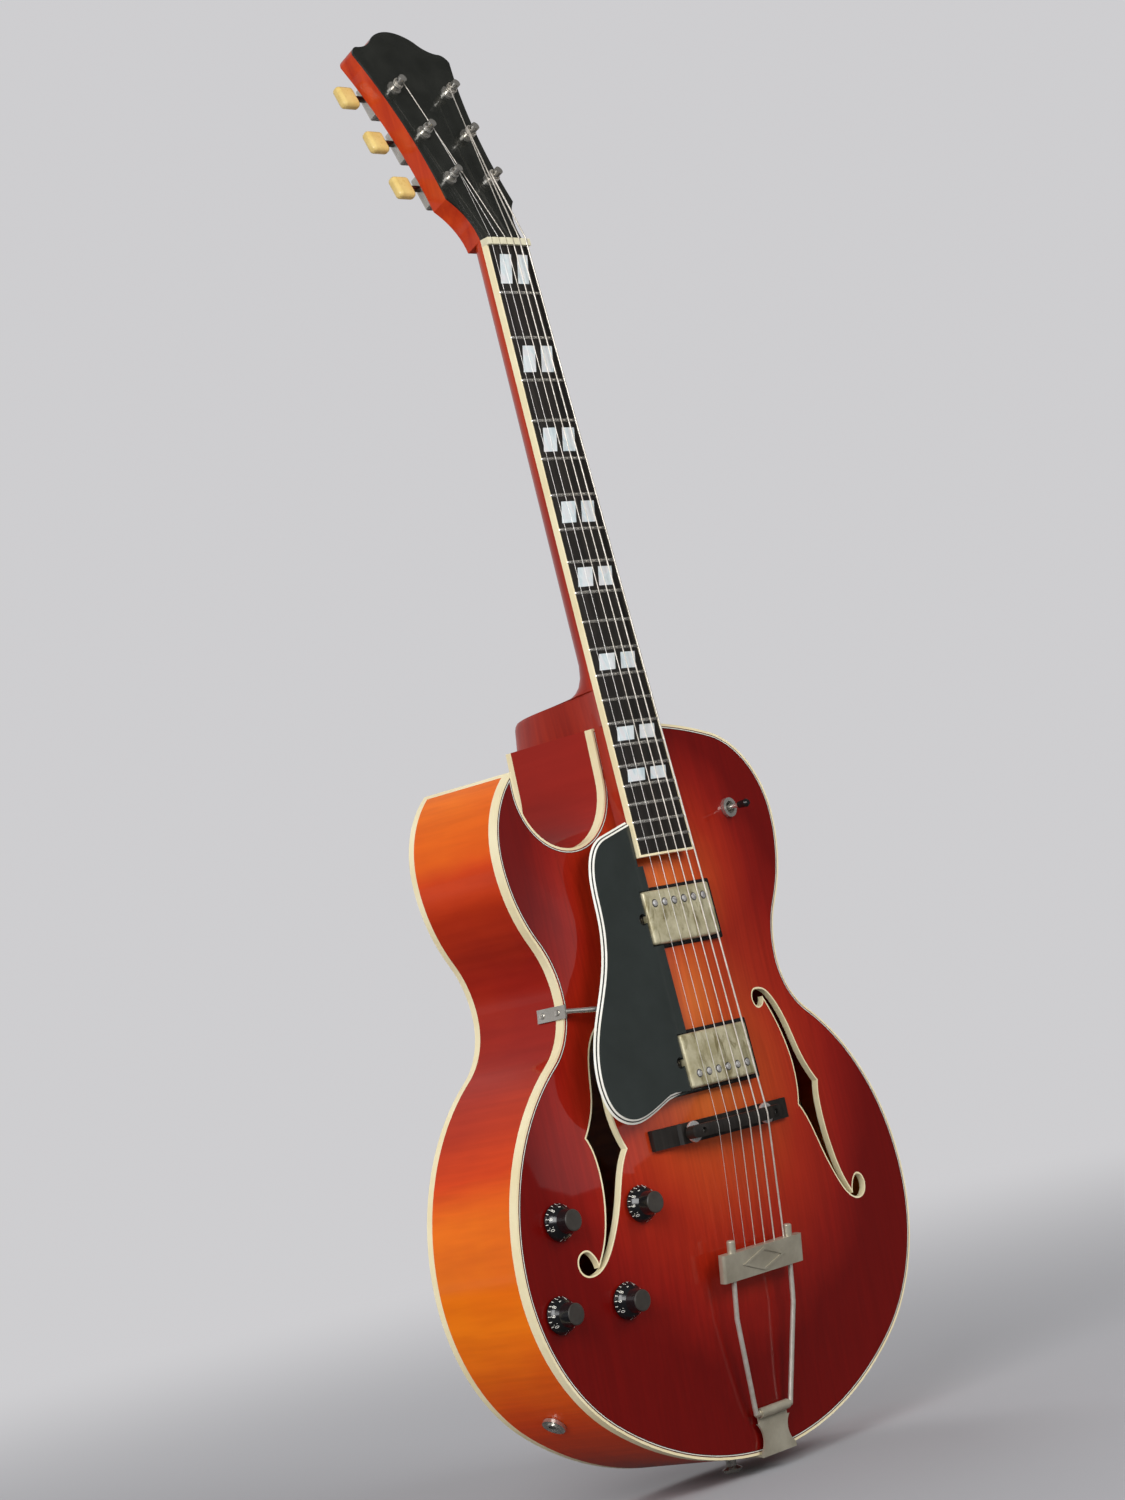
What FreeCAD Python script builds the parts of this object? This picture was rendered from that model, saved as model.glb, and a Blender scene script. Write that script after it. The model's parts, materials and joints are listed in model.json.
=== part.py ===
import FreeCAD, Part
import math
import os

# Left-handed archtop guitar, upright: +X to the viewer's right, +Y to the back, +Z along the neck.
# The origin is the strap button's seat, in the middle of the tail end. Millimetres and degrees.

Vector = FreeCAD.Vector
Placement = FreeCAD.Placement
Rotation = FreeCAD.Rotation

doc = FreeCAD.newDocument("archtop_guitar")
sheet = doc.addObject("Spreadsheet::Sheet", "Sizes")
readings = {}
nodes = {}

sizes = {
    # body outline: stations rise from the tail, drops fall from the neck end
    "body_length": 508, "lower_bout_half": 203.5, "lower_bout_station": 157, "waist_half": 115,
    "waist_drop": 99, "upper_bout_half": 145, "upper_bout_drop": 80, "tail_flatness": 48.5,
    "lower_waist_radius": 50, "upper_waist_radius": 70, "neck_end_radius": 350,
    "horn_width": 29, "cutaway_radius": 44, "cutaway_drop": 36,
    # box of the body
    "rim_depth": 84, "plate_thickness": 4.5, "rib_thickness": 2.5,
    "binding_thickness": 1.8, "top_binding_height": 6.5, "back_binding_height": 5,
    "horn_strip_width": 3, "lining_width": 6, "lining_height": 12,
    "top_crown": 17, "back_crown": 15, "arch_sharpness": 1.8,
    "tail_rise": 200, "neck_rise": 170, "cutaway_run": 32, "seat_gap": 0.1,
    "head_block_depth": 44, "head_block_half": 30, "tail_block_depth": 22, "tail_block_half": 36,
    "brace_offset": 50, "brace_width": 8, "brace_height": 11, "brace_start": 85,
    "brace_end_drop": 113,
    # f-holes
    "f_upper_inset": 39, "f_upper_drop": 26.5, "f_lower_inset": 58, "f_binding_thickness": 1.2,
    # neck and fingerboard
    "neck_pitch": 3.27, "board_front_at_nut": 37.6, "scale_length": 628.65,
    "fret_count": 20, "nut_width": 43.5, "last_fret_width": 57, "board_overhang": 12.4,
    "board_thickness": 5.5, "board_radius": 305, "board_binding_thickness": 1.5,
    "fret_width": 2.4, "fret_height": 1.1, "fret_inset": 1.0,
    "inlay_depth": 1.2, "inlay_share": 0.62, "inlay_margin": 6.2, "inlay_lean": 16, "inlay_split": 6,
    "nut_thickness": 5, "nut_rise": 2.6, "neck_depth_at_nut": 15.5, "neck_depth_at_twelfth": 18,
    "truss_margin": 30, "heel_length": 25, "heel_sweep": 20, "heel_round": 7, "tongue_half": 25, "tongue_lap": 10,
    "tongue_drop": 20, "tenon_half": 14, "tenon_length": 24, "tenon_depth": 52,
    "truss_rod_radius": 2.4, "truss_rod_drop": 4,
    # headstock, stations from the nut's upper face
    "head_tilt": 17.1, "head_thickness": 14.5, "veneer_thickness": 1.5, "head_ear_half": 34,
    "head_ear_station": 36, "head_waist_half": 35.4, "head_waist_station": 101, "head_top_half": 49,
    "head_top_station": 165, "head_crown_half": 40, "head_crown_station": 172, "head_peak_station": 189.5,
    "head_rise_half": 22, "head_rise_station": 181.5, "head_dip": 2.25, "head_swell": 2.1, "head_shoulder": 1.6,
    # tuners
    "post_station_low": 54, "post_station_mid": 94.5, "post_station_high": 134.5,
    "post_half_low": 20.5, "post_half_mid": 22, "post_half_high": 27.3,
    "post_radius": 3.1, "post_rise": 14, "post_neck_radius": 2.6, "post_gap": 0.05,
    "bushing_radius": 5.2, "bushing_height": 1.9, "sleeve_radius": 4.4,
    "housing_length": 27, "housing_width": 15, "housing_depth": 8.6, "worm_offset": 6.5,
    "key_shaft_radius": 2.3, "key_shaft_inside": 6, "key_reach": 18.5,
    "button_length": 16.5, "button_width": 17.5, "button_thickness": 7.6, "button_round": 3.2,
    # bridge
    "bridge_station": 224, "string_compensation": 3.57, "bridge_half": 71.5, "bridge_width": 14, "bridge_end_height": 3.4,
    "bridge_wing_height": 4.4, "bridge_plateau_height": 4.4, "bridge_plateau_half": 49, "bridge_post_offset": 38.5,
    "bridge_post_radius": 1.9, "bridge_post_seat": 4, "wheel_radius": 7.2, "wheel_thickness": 2.6,
    "wheel_gap": 1.0, "wheel_play": 0.05, "saddle_half": 49, "saddle_width": 8.6, "saddle_top_rise": 36,
    "saddle_waist": 26, "saddle_crest_angle": 10, "saddle_play": 0.1, "post_sink": 2.5,
    # tailpiece
    "hinge_station": 28, "hinge_rise": 6.5, "hinge_barrel_radius": 3.4, "hinge_barrel_half": 15,
    "hinge_pin_radius": 2.2, "hinge_play": 0.08, "hinge_pin_length": 8, "hinge_plate_thickness": 1.5,
    "hinge_plate_half": 18, "hinge_waist": 5, "hinge_plate_drop": 30,
    "trapeze_lean": 10, "rod_radius": 1.7, "rod_low_half": 18.5, "rod_high_half": 30.5, "rod_straight": 26,
    "bar_start": 94, "bar_height": 19, "bar_half": 42.5, "bar_thickness": 6, "bar_wall": 1.6, "bar_round": 2.2,
    "diamond_half": 23, "diamond_rise": 0.7, "diamond_rim": 1.1, "cap_radius": 2.9, "cap_height": 8.5,
    # pickups: one below the fingerboard, one above the bridge
    "neck_pickup_gap": 42, "bridge_pickup_gap": 47, "pickup_length": 69, "pickup_width": 37,
    "pickup_depth": 17, "pickup_round": 2, "pickup_drop": 1.5, "ring_length": 85, "ring_width": 43,
    "ring_drop": 7.2, "ring_play": 0.3, "pole_radius": 2.3, "pole_height": 0.7, "pole_offset": 9.5,
    "pole_spacing": 10.2,
    # pickguard
    "guard_drop": 4, "guard_thickness": 2.4, "guard_clearance": 0.8, "guard_inner_edge": 25,
    "guard_notch_radius": 4, "guard_low_gap": 15, "guard_high_reach": 25, "pickup_screw_offset": 38.5, "bracket_width": 9, "bracket_drop": 8, "bracket_pad_offset": 95,
    "bracket_thickness": 1.5, "bracket_length": 26, "bracket_rod_radius": 1.8,
    # controls, set in from the lower bout's edge and up from the tail
    "volume_knob_neck_inset": 111.5, "volume_knob_neck_rise": 186,
    "volume_knob_bridge_inset": 84.5, "volume_knob_bridge_rise": 127,
    "tone_knob_neck_inset": 39.5, "tone_knob_neck_rise": 188,
    "tone_knob_bridge_inset": 24.5, "tone_knob_bridge_rise": 130,
    "knob_skirt_radius": 12.4, "knob_skirt_height": 7.6, "knob_waist_radius": 8.1, "knob_top_radius": 7.2,
    "knob_height": 15.6, "knob_lift": 0.9, "knob_bore_height": 11, "knob_play": 0.06,
    "pot_shaft_radius": 3, "pot_shaft_reach": 11.4, "pot_bushing_radius": 4.6, "pot_radius": 8,
    "pot_height": 9, "pot_drop": 3,
    "toggle_inset": 51, "toggle_drop": 69, "toggle_nut_radius": 7, "toggle_nut_height": 3.2,
    "toggle_mouth_radius": 4.4, "toggle_bushing_radius": 5.8, "toggle_box_width": 16, "toggle_box_length": 28,
    "toggle_box_depth": 18, "lever_radius": 1.5, "lever_ball": 5, "lever_play": 0.08, "lever_tip_radius": 3,
    "lever_reach": 21,
    "lever_tip_length": 9, "lever_pin_radius": 1, "lever_pin_half": 5.2, "lever_pin_play": 0.05,
    "jack_angle": 227, "jack_bore_radius": 3.2, "jack_tube_radius": 4.7, "jack_length": 20,
    "jack_nut_radius": 8, "jack_nut_height": 2.6,
    "strap_foot_radius": 6.5, "strap_neck_radius": 3.6, "strap_head_radius": 7, "strap_height": 12,
    "strap_shank_radius": 2.4, "strap_shank_length": 16,
    # strings, from the bass side
    "nut_spread": 35.5, "saddle_spread": 52, "string_nut_height": 1.5, "string_gap": 0.1, "nut_slot_play": 0.2,
    "string_bend": 8, "winding_turns": 2, "winding_gap": 0.35, "turn_gap": 0.66, "winding_height": 7.6,
}
string_diameters = (1.32, 1.07, 0.81, 0.61, 0.43, 0.33)
arch_poles = (21, 25)
guard_flank = ((-56, 0.97), (-71, 0.92), (-78.5, 0.83), (-81, 0.68), (-91, 0.51), (-112, 0.325), (-121, 0.175),
               (-114, 0.04), (-99, 0), (-83, 0.005), (-56, 0.05))
# edges of an f-hole: points about its upper eye, points about its lower eye, and which of them come first
f_edges = (
    (((8.5, -2), (15.3, -17), (19.7, -33.5), (21.4, -48), (20.6, -61.5), (15.5, -79)), (), False),
    (((15.5, -79),), ((-49.5, 60.5), (-37.5, 33), (-25, 8.5), (-16, -3), (-5, -9), (5.5, -7), (9, 0.2), (6, 7),
                      (-1, 8.8), (-6.5, 4.5), (-9.3, -1.6)), False),
    ((), ((-9.3, -1.6), (-14, 5.5), (-18.7, 15.5), (-22.6, 29), (-25, 44), (-25.4, 58), (-24, 70), (-20.5, 79.7)),
     True),
    (((40.6, -53.5), (36, -43), (31.8, -26.5), (26.5, -10.5), (20.6, -0.8), (13.5, 5.4), (4, 7.7), (-4.5, 5.8),
      (-7.3, 0), (-4, -6), (2.5, -6.6), (8.5, -2)), ((-20.5, 79.7),), True))
inlay_frets = (1, 3, 5, 7, 9, 12, 15, 17)
knob_names = ("volume_knob_neck", "volume_knob_bridge", "tone_knob_neck", "tone_knob_bridge")


def fill_sheet():
    for row, (alias, number) in enumerate(sizes.items(), 1):
        sheet.set("A%d" % row, alias)
        sheet.set("B%d" % row, str(number))
        sheet.setAlias("B%d" % row, alias)
    doc.recompute()
    for alias in sizes:
        readings[alias] = float(sheet.get(alias))


def size(alias):
    return readings[alias]


def upper_bout_station():
    return size("body_length") - size("upper_bout_drop")


def waist_station():
    return upper_bout_station() - size("waist_drop")


def cutaway_centre():
    x = size("horn_width") + size("cutaway_radius") - size("upper_bout_half")
    return x, size("body_length") - size("cutaway_drop")


def nut_station():
    along = size("scale_length") * math.cos(math.radians(size("neck_pitch")))
    return size("bridge_station") + along + size("string_compensation")


def total(words):
    # adds up a sum such as "knob_height - knob_lift"
    amount = 0.0
    sign = 1.0
    for word in words.split():
        if word in "+-":
            sign = -1.0 if word == "-" else 1.0
        else:
            amount += sign * (float(word) if word[0].isdigit() else size(word))
    return amount


def formula(words):
    return " ".join(word if word in "+-" or word[0].isdigit() else "Sizes." + word for word in words.split())


def bind(target, **cells):
    for name, words in cells.items():
        target.setExpression(name, formula(words))


def keep(label, target):
    target.Label = label
    nodes[label] = target
    return target


def feature(label, shape, placement=None):
    target = doc.addObject("Part::Feature", label)
    target.Shape = shape
    if placement is not None:
        target.Placement = placement
    return keep(label, target)


# Sketch helpers: every corner of a turned profile is bound to the sheet.

def sketch_on(body, name, role):
    sketch = body.newObject("Sketcher::SketchObject", name)
    plane = [item for item in body.Origin.OriginFeatures if item.Role == role][0]
    sketch.AttachmentSupport = (plane, [""])
    sketch.MapMode = "FlatFace"
    return sketch


def tie(sketch, corner, axis, words):
    # one coordinate of a corner: on the axis, or at a bound distance from it
    import Sketcher
    if words == "0":
        sketch.addConstraint(Sketcher.Constraint("PointOnObject", corner, 1, -2 if axis == "X" else -1))
        return
    name = "corner%s%d" % (axis, corner)
    index = sketch.addConstraint(Sketcher.Constraint("Distance" + axis, -1, 1, corner, 1, total(words)))
    sketch.renameConstraint(index, name)
    sketch.setExpression("Constraints." + name, formula(words))


def turned(label, profile):
    # a body turned about its own +Z from (radius, height) corners
    import Sketcher
    body = doc.addObject("PartDesign::Body", label)
    sketch = sketch_on(body, label + "_profile", "XZ_Plane")
    corners = [Vector(total(radius), total(height), 0) for radius, height in profile]
    count = len(corners)
    for index, corner in enumerate(corners):
        sketch.addGeometry(Part.LineSegment(corner, corners[(index + 1) % count]), False)
    for index in range(count):
        sketch.addConstraint(Sketcher.Constraint("Coincident", index, 2, (index + 1) % count, 1))
    for index, (radius, height) in enumerate(profile):
        tie(sketch, index, "X", radius)
        tie(sketch, index, "Y", height)
    turn = body.newObject("PartDesign::Revolution", label + "_turn")
    turn.Profile = sketch
    turn.ReferenceAxis = (sketch, ["V_Axis"])
    turn.Angle = 360
    sketch.Visibility = False
    doc.recompute()
    return body


def padded(label, width, height, depth, rounding):
    # a centred rectangular block with all its edges rounded
    import Sketcher
    body = doc.addObject("PartDesign::Body", label)
    sketch = sketch_on(body, label + "_profile", "XY_Plane")
    across, along = total(width) / 2, total(height) / 2
    corners = [Vector(-across, -along, 0), Vector(across, -along, 0), Vector(across, along, 0),
               Vector(-across, along, 0)]
    for index in range(4):
        sketch.addGeometry(Part.LineSegment(corners[index], corners[(index + 1) % 4]), False)
    for index in range(4):
        sketch.addConstraint(Sketcher.Constraint("Coincident", index, 2, (index + 1) % 4, 1))
        sketch.addConstraint(Sketcher.Constraint("Vertical" if index % 2 else "Horizontal", index))
    sketch.addConstraint(Sketcher.Constraint("Symmetric", 0, 1, 2, 1, -1, 1))
    for name, kind, line, words in (("across", "DistanceX", 0, width), ("along", "DistanceY", 1, height)):
        index = sketch.addConstraint(Sketcher.Constraint(kind, line, 1, line, 2, total(words)))
        sketch.renameConstraint(index, name)
        sketch.setExpression("Constraints." + name, formula(words))
    pad = body.newObject("PartDesign::Pad", label + "_pad")
    pad.Profile = sketch
    bind(pad, Length=depth)
    doc.recompute()
    if rounding:
        soft = body.newObject("PartDesign::Fillet", label + "_round")
        soft.Base = (pad, [""])
        soft.UseAllEdges = True
        bind(soft, Radius=rounding)
    sketch.Visibility = False
    doc.recompute()
    return body


# Body outline: a chain of tangent arcs in the XZ plane, moved inwards by an inset.

def polar(centre, radius, degrees, y=0.0):
    angle = math.radians(degrees)
    return Vector(centre[0] + radius * math.cos(angle), y, centre[1] + radius * math.sin(angle))


def bearing(start, end):
    return math.degrees(math.atan2(end[1] - start[1], end[0] - start[0]))


def outline_arcs():
    # right half from the tail to the neck: (centre, radius, start, stop, 1 bulging or -1 hollow)
    low_x, low_z = size("lower_bout_half"), size("lower_bout_station")
    waist_x, waist_z = size("waist_half"), waist_station()
    high_x, high_z = size("upper_bout_half"), upper_bout_station()
    tail, neck, top = low_x + size("tail_flatness"), size("neck_end_radius"), size("body_length")
    flank = (low_x ** 2 + low_z ** 2 - 2 * low_z * tail) / (2 * (low_x - tail))
    rise = top - high_z
    shoulder = (high_x ** 2 + rise ** 2 - 2 * rise * neck) / (2 * (high_x - neck))
    lower_sum = ((low_x - waist_x) ** 2 + (waist_z - low_z) ** 2) / (2 * (low_x - waist_x))
    upper_sum = ((high_x - waist_x) ** 2 + (high_z - waist_z) ** 2) / (2 * (high_x - waist_x))
    hip = lower_sum - size("lower_waist_radius")
    side = upper_sum - size("upper_waist_radius")
    tail_centre, flank_centre = (0, tail), (low_x - flank, low_z)
    hip_centre, low_waist_centre = (low_x - hip, low_z), (waist_x + size("lower_waist_radius"), waist_z)
    high_waist_centre, side_centre = (waist_x + size("upper_waist_radius"), waist_z), (high_x - side, high_z)
    shoulder_centre, neck_centre = (high_x - shoulder, high_z), (0, top - neck)
    tail_turn = bearing(tail_centre, flank_centre)
    hip_turn = bearing(hip_centre, low_waist_centre)
    side_turn = bearing(high_waist_centre, side_centre)
    neck_turn = bearing(neck_centre, shoulder_centre)
    return [(tail_centre, tail, -90, tail_turn, 1), (flank_centre, flank, tail_turn, 0, 1),
            (hip_centre, hip, 0, hip_turn, 1),
            (low_waist_centre, size("lower_waist_radius"), hip_turn + 180, 180, -1),
            (high_waist_centre, size("upper_waist_radius"), 180, side_turn, -1),
            (side_centre, side, side_turn - 180, 0, 1), (shoulder_centre, shoulder, 0, neck_turn, 1),
            (neck_centre, neck, neck_turn, 90, 1)]


def arc_edge(centre, radius, start, stop, y):
    middle = (start + stop) / 2
    return Part.Arc(polar(centre, radius, start, y), polar(centre, radius, middle, y),
                    polar(centre, radius, stop, y)).toShape()


def outline_wire(inset, y):
    arcs = outline_arcs()
    edges = []
    for centre, radius, start, stop, bulge in arcs[:-1]:
        edges.append(arc_edge(centre, radius - bulge * inset, start, stop, y))
    neck_centre, neck_radius, neck_start = arcs[-1][0], arcs[-1][1] - inset, arcs[-1][2]
    middle, station = cutaway_centre()
    scoop = size("cutaway_radius") + inset
    neck_wall, horn_wall = middle + scoop, middle - scoop
    neck_stop = math.degrees(math.acos(neck_wall / neck_radius))
    edges.append(arc_edge(neck_centre, neck_radius, neck_start, neck_stop, y))
    neck_corner = polar(neck_centre, neck_radius, neck_stop, y)
    edges.append(Part.LineSegment(neck_corner, Vector(neck_wall, y, station)).toShape())
    edges.append(arc_edge((middle, station), scoop, 0, -180, y))
    shoulder_centre, shoulder_radius = arcs[-2][0], arcs[-2][1] - inset
    reach = horn_wall + shoulder_centre[0]
    tip = Vector(horn_wall, y, shoulder_centre[1] + math.sqrt(shoulder_radius ** 2 - reach ** 2))
    edges.append(Part.LineSegment(Vector(horn_wall, y, station), tip).toShape())
    tip_turn = bearing((0, 0), (reach, tip.z - shoulder_centre[1]))
    edges.append(arc_edge((-shoulder_centre[0], shoulder_centre[1]), shoulder_radius, tip_turn, 180, y))
    for centre, radius, start, stop, bulge in reversed(arcs[:-2]):
        edges.append(arc_edge((-centre[0], centre[1]), radius - bulge * inset, 180 - stop, 180 - start, y))
    return Part.Wire(edges)


def outline_block(inset, front, back):
    return Part.Face(outline_wire(inset, front)).extrude(Vector(0, back - front, 0))


def half_width(z):
    for centre, radius, start, stop, bulge in outline_arcs():
        low, high = polar(centre, radius, start).z, polar(centre, radius, stop).z
        if low <= z <= high:
            return centre[0] + bulge * math.sqrt(max(radius ** 2 - (z - centre[1]) ** 2, 0))
    return 0.0


def cutaway_distance(x, z):
    middle, station = cutaway_centre()
    below = min(z - station, 0)
    return max(math.hypot(x - middle, below) - size("cutaway_radius"), 0)


def arch_height(x, z, crown):
    # a cosine dome across the body that fades out at the tail, at the neck and round the cutaway
    width = half_width(z)
    if abs(x) >= width:
        return 0.0
    sharp = size("arch_sharpness")
    across = math.cos(math.pi / 2 * x / width) ** sharp
    tail = math.sin(math.pi / 2 * min(z / size("tail_rise"), 1)) ** sharp
    near_neck = (size("body_length") - z) / size("neck_rise")
    neck = math.sin(math.pi / 2 * min(near_neck, 1)) ** sharp
    notch = 1 - math.exp(-(cutaway_distance(x, z) / size("cutaway_run")) ** 2)
    return crown * across * tail * neck * notch


def arch_face(side, crown, shift=0.0):
    # side -1 is the top, at the front; +1 is the back
    columns, rows = arch_poles
    margin = 3 * size("plate_thickness")
    reach, length = size("lower_bout_half") + margin, size("body_length")
    grid = []
    for row in range(rows):
        z = -margin + (length + 2 * margin) * row / (rows - 1)
        line = []
        for column in range(columns):
            x = reach * (2 * column / (columns - 1) - 1)
            line.append(Vector(x, side * (size("rim_depth") / 2 + arch_height(x, z, crown) + shift), z))
        grid.append(line)
    surface = Part.BSplineSurface()
    surface.buildFromPolesMultsKnots(grid, ends(rows), ends(columns), list(range(rows - 2)),
                                     list(range(columns - 2)), False, False, 3, 3)
    return surface.toShape()


def ends(count):
    # knot multiplicities of an even cubic spline that reaches its first and last poles
    return [4] + [1] * (count - 4) + [4]


def top_y(x, z):
    return -size("rim_depth") / 2 - arch_height(x, z, size("top_crown"))


def top_normal(x, z):
    step = 1.0
    slope_x = (top_y(x + step, z) - top_y(x - step, z)) / (2 * step)
    slope_z = (top_y(x, z + step) - top_y(x, z - step)) / (2 * step)
    normal = Vector(slope_x, -1, slope_z)
    return normal.normalize()


def facing(base, axis):
    # places a piece modelled along +Z so that it stands along the axis
    return Placement(base, Rotation(Vector(0, 0, 1), axis))


def carved_under():
    # everything behind the arched top's front face, with a glue gap
    return arch_face(-1, size("top_crown"), size("seat_gap")).extrude(Vector(0, size("rim_depth"), 0))


def box(low, high):
    return Part.makeBox(high.x - low.x, high.y - low.y, high.z - low.z, low)


def rod(start, end, radius):
    return Part.makeCylinder(radius, (end - start).Length, start, end - start)


def fused(shapes):
    return shapes[0].multiFuse(shapes[1:])


# Neck frame: z = 0 at the nut's lower face, y = 0 at the fingerboard's crown line.

def neck_place():
    return Placement(Vector(0, -size("board_front_at_nut"), nut_station()),
                     Rotation(Vector(1, 0, 0), -size("neck_pitch")))


def head_place():
    # the headstock's wooden face, from the nut's upper face
    local = Placement(Vector(0, size("board_thickness"), size("nut_thickness")),
                      Rotation(Vector(1, 0, 0), -size("head_tilt")))
    return neck_place().multiply(local)


def fret_distance(number):
    return size("scale_length") * (1 - 2 ** (-number / 12.0))


def board_width(distance):
    return size("nut_width") + (size("last_fret_width") - size("nut_width")) * distance / fret_distance(
        size("fret_count"))


def neck_station(z):
    # distance from the nut to the cross plane at a station above the tail, on the fingerboard
    return (nut_station() - z) / math.cos(math.radians(size("neck_pitch")))


def board_end():
    return fret_distance(size("fret_count")) + size("board_overhang")


def taper_block(inset, start, end, front, back):
    # a slab that follows the fingerboard's taper between two distances from the nut
    wide, slim = board_width(end) / 2 - inset, board_width(start) / 2 - inset
    corners = [Vector(-slim, front, -start), Vector(slim, front, -start), Vector(wide, front, -end),
               Vector(-wide, front, -end), Vector(-slim, front, -start)]
    return Part.Face(Part.makePolygon(corners)).extrude(Vector(0, back - front, 0))


def crown_cylinder(rise):
    radius = size("board_radius") + rise
    length = board_end() + 2 * size("nut_width")
    return Part.makeCylinder(radius, length, Vector(0, size("board_radius"), -length + size("nut_width")),
                             Vector(0, 0, 1))


def make_body():
    depth, plate = size("rim_depth") / 2, size("plate_thickness")
    binding, rib = size("binding_thickness"), size("rib_thickness")
    ledge = depth - plate
    cuts = f_holes() + pickup_wells() + control_holes()
    top_slab = arch_face(-1, size("top_crown")).extrude(Vector(0, plate, 0))
    top = top_slab.common(outline_block(binding, -2 * depth, -ledge)).cut(cuts)
    feature("top_plate", top)
    linings = zip(f_holes(), f_holes(size("f_binding_thickness")))
    rings = [hole.cut(opening).common(top_slab) for hole, opening in linings]
    feature("f_hole_bindings", Part.makeCompound(rings))
    back_slab = arch_face(1, size("back_crown")).extrude(Vector(0, -plate, 0))
    feature("back_plate", back_slab.common(outline_block(binding, ledge, 2 * depth)))
    edge = outline_block(binding, -2 * depth, 2 * depth)
    top_strip = outline_block(0, -depth, -depth + size("top_binding_height")).cut(edge)
    back_strip = outline_block(0, depth - size("back_binding_height"), depth).cut(edge)
    wall = outline_block(0, -ledge, ledge).cut(outline_block(rib, -ledge, ledge))
    wall = wall.cut([top_strip, back_strip])
    horn_x = size("horn_width") - size("upper_bout_half")
    strip_z = upper_bout_station() + size("cutaway_radius")
    strip_low = Vector(horn_x - size("horn_strip_width"), -depth, strip_z)
    horn = box(strip_low, Vector(horn_x + 1, depth, size("body_length")))
    feature("body_binding", Part.makeCompound([top_strip, back_strip, wall.common(horn)]))
    tail_gap, far = size("tail_block_depth"), size("body_length") + size("tail_block_depth")
    wall = wall.cut(horn)
    low_z = cutaway_centre()[1] - size("cutaway_radius") - rib - 1
    pocket = box(Vector(horn_x - rib - 0.01, -depth, low_z), Vector(0, depth, far))
    bass = box(Vector(0, -depth, -tail_gap), Vector(size("lower_bout_half") + 1, depth, far))
    drilled = [tenon(size("seat_gap")), jack_hole(), strap_hole()]
    feature("rib_bass", wall.common(bass).cut(drilled))
    feature("rib_cutaway", wall.common(pocket).cut(drilled))
    treble = wall.cut([bass, pocket]).cut(drilled)
    hip = outline_arcs()[2]
    horn_side = box(Vector(-2 * hip[1], -depth, polar(hip[0], hip[1], hip[3]).z), Vector(0, depth, far))
    feature("rib_treble", treble.cut(horn_side))
    feature("rib_horn", treble.common(horn_side))
    make_inside(ledge, drilled)


def make_inside(ledge, drilled):
    rib = size("rib_thickness")
    room = outline_block(rib, -ledge, ledge)
    length = size("body_length")
    half = size("head_block_half")
    head = box(Vector(-half, -ledge, length - size("head_block_depth")), Vector(half, ledge, length))
    tail = box(Vector(-size("tail_block_half"), -ledge, 0),
               Vector(size("tail_block_half"), ledge, size("tail_block_depth")))
    feature("head_block", room.common(head).cut(drilled))
    feature("tail_block", room.common(tail).cut(drilled))
    inner = outline_block(rib + size("lining_width"), -ledge, ledge)
    strips = []
    for low, high in ((-ledge, -ledge + size("lining_height")), (ledge - size("lining_height"), ledge)):
        strips += outline_block(rib, low, high).cut(inner).cut([head, tail]).Solids
    feature("linings", Part.makeCompound(strips))
    under = arch_face(-1, size("top_crown"), -size("plate_thickness") - size("seat_gap"))
    layer = under.extrude(Vector(0, size("brace_height"), 0))
    bars = []
    for side in (-1, 1):
        x = side * size("brace_offset")
        bar = box(Vector(x - size("brace_width") / 2, -size("rim_depth"), size("brace_start")),
                  Vector(x + size("brace_width") / 2, size("rim_depth"), length - size("brace_end_drop")))
        bars.append(layer.common(bar))
    feature("top_braces", Part.makeCompound(bars))


def f_corners():
    # a slender S with an eye at each end: its four edges meet at two cusps and two nicks
    upper = Vector(size("waist_half") - size("f_upper_inset"), 0, waist_station() - size("f_upper_drop"))
    lower = Vector(size("lower_bout_half") - size("f_lower_inset"), 0, size("lower_bout_station"))
    edges = []
    for near_upper, near_lower, rising in f_edges:
        high = [upper + Vector(x, 0, z) for x, z in near_upper]
        low = [lower + Vector(x, 0, z) for x, z in near_lower]
        edges.append(low + high if rising else high + low)
    return edges


def drawn_in(edges, inset):
    # each edge moves inwards along its normals, and neighbours meet in mitred corners
    normals = []
    for points in edges:
        curve = Part.BSplineCurve()
        curve.interpolate(points)
        tangents = [curve.tangent(curve.parameter(point))[0] for point in points]
        normals.append([tangent.cross(Vector(0, 1, 0)) for tangent in tangents])
    moved = []
    for number, points in enumerate(edges):
        line = [point + normal * inset for point, normal in zip(points, normals[number])]
        beside = {0: normals[number - 1][-1], -1: normals[(number + 1) % len(edges)][0]}
        for end, other in beside.items():
            own = normals[number][end]
            line[end] = points[end] + (own + other) * (inset / (1 + own.dot(other)))
        moved.append(line)
    return moved


def f_holes(inset=0.0):
    front = -1.5 * size("rim_depth")
    edges = drawn_in(f_corners(), inset)
    holes = []
    for side in (-1, 1):
        curves = []
        for points in edges:
            curve = Part.BSplineCurve()
            curve.interpolate([Vector(side * point.x, front, point.z) for point in points])
            curves.append(curve.toShape())
        holes.append(Part.Face(Part.Wire(curves)).extrude(Vector(0, -front, 0)))
    return holes


def pickup_place(station, drop):
    # the middle of a pickup, at a depth behind the fingerboard's plane; local z points to the front
    neck = neck_place()
    base = neck.multVec(Vector(0, drop, -neck_station(station)))
    return Placement(base, neck.Rotation.multiply(Rotation(Vector(1, 0, 0), 90)))


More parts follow.
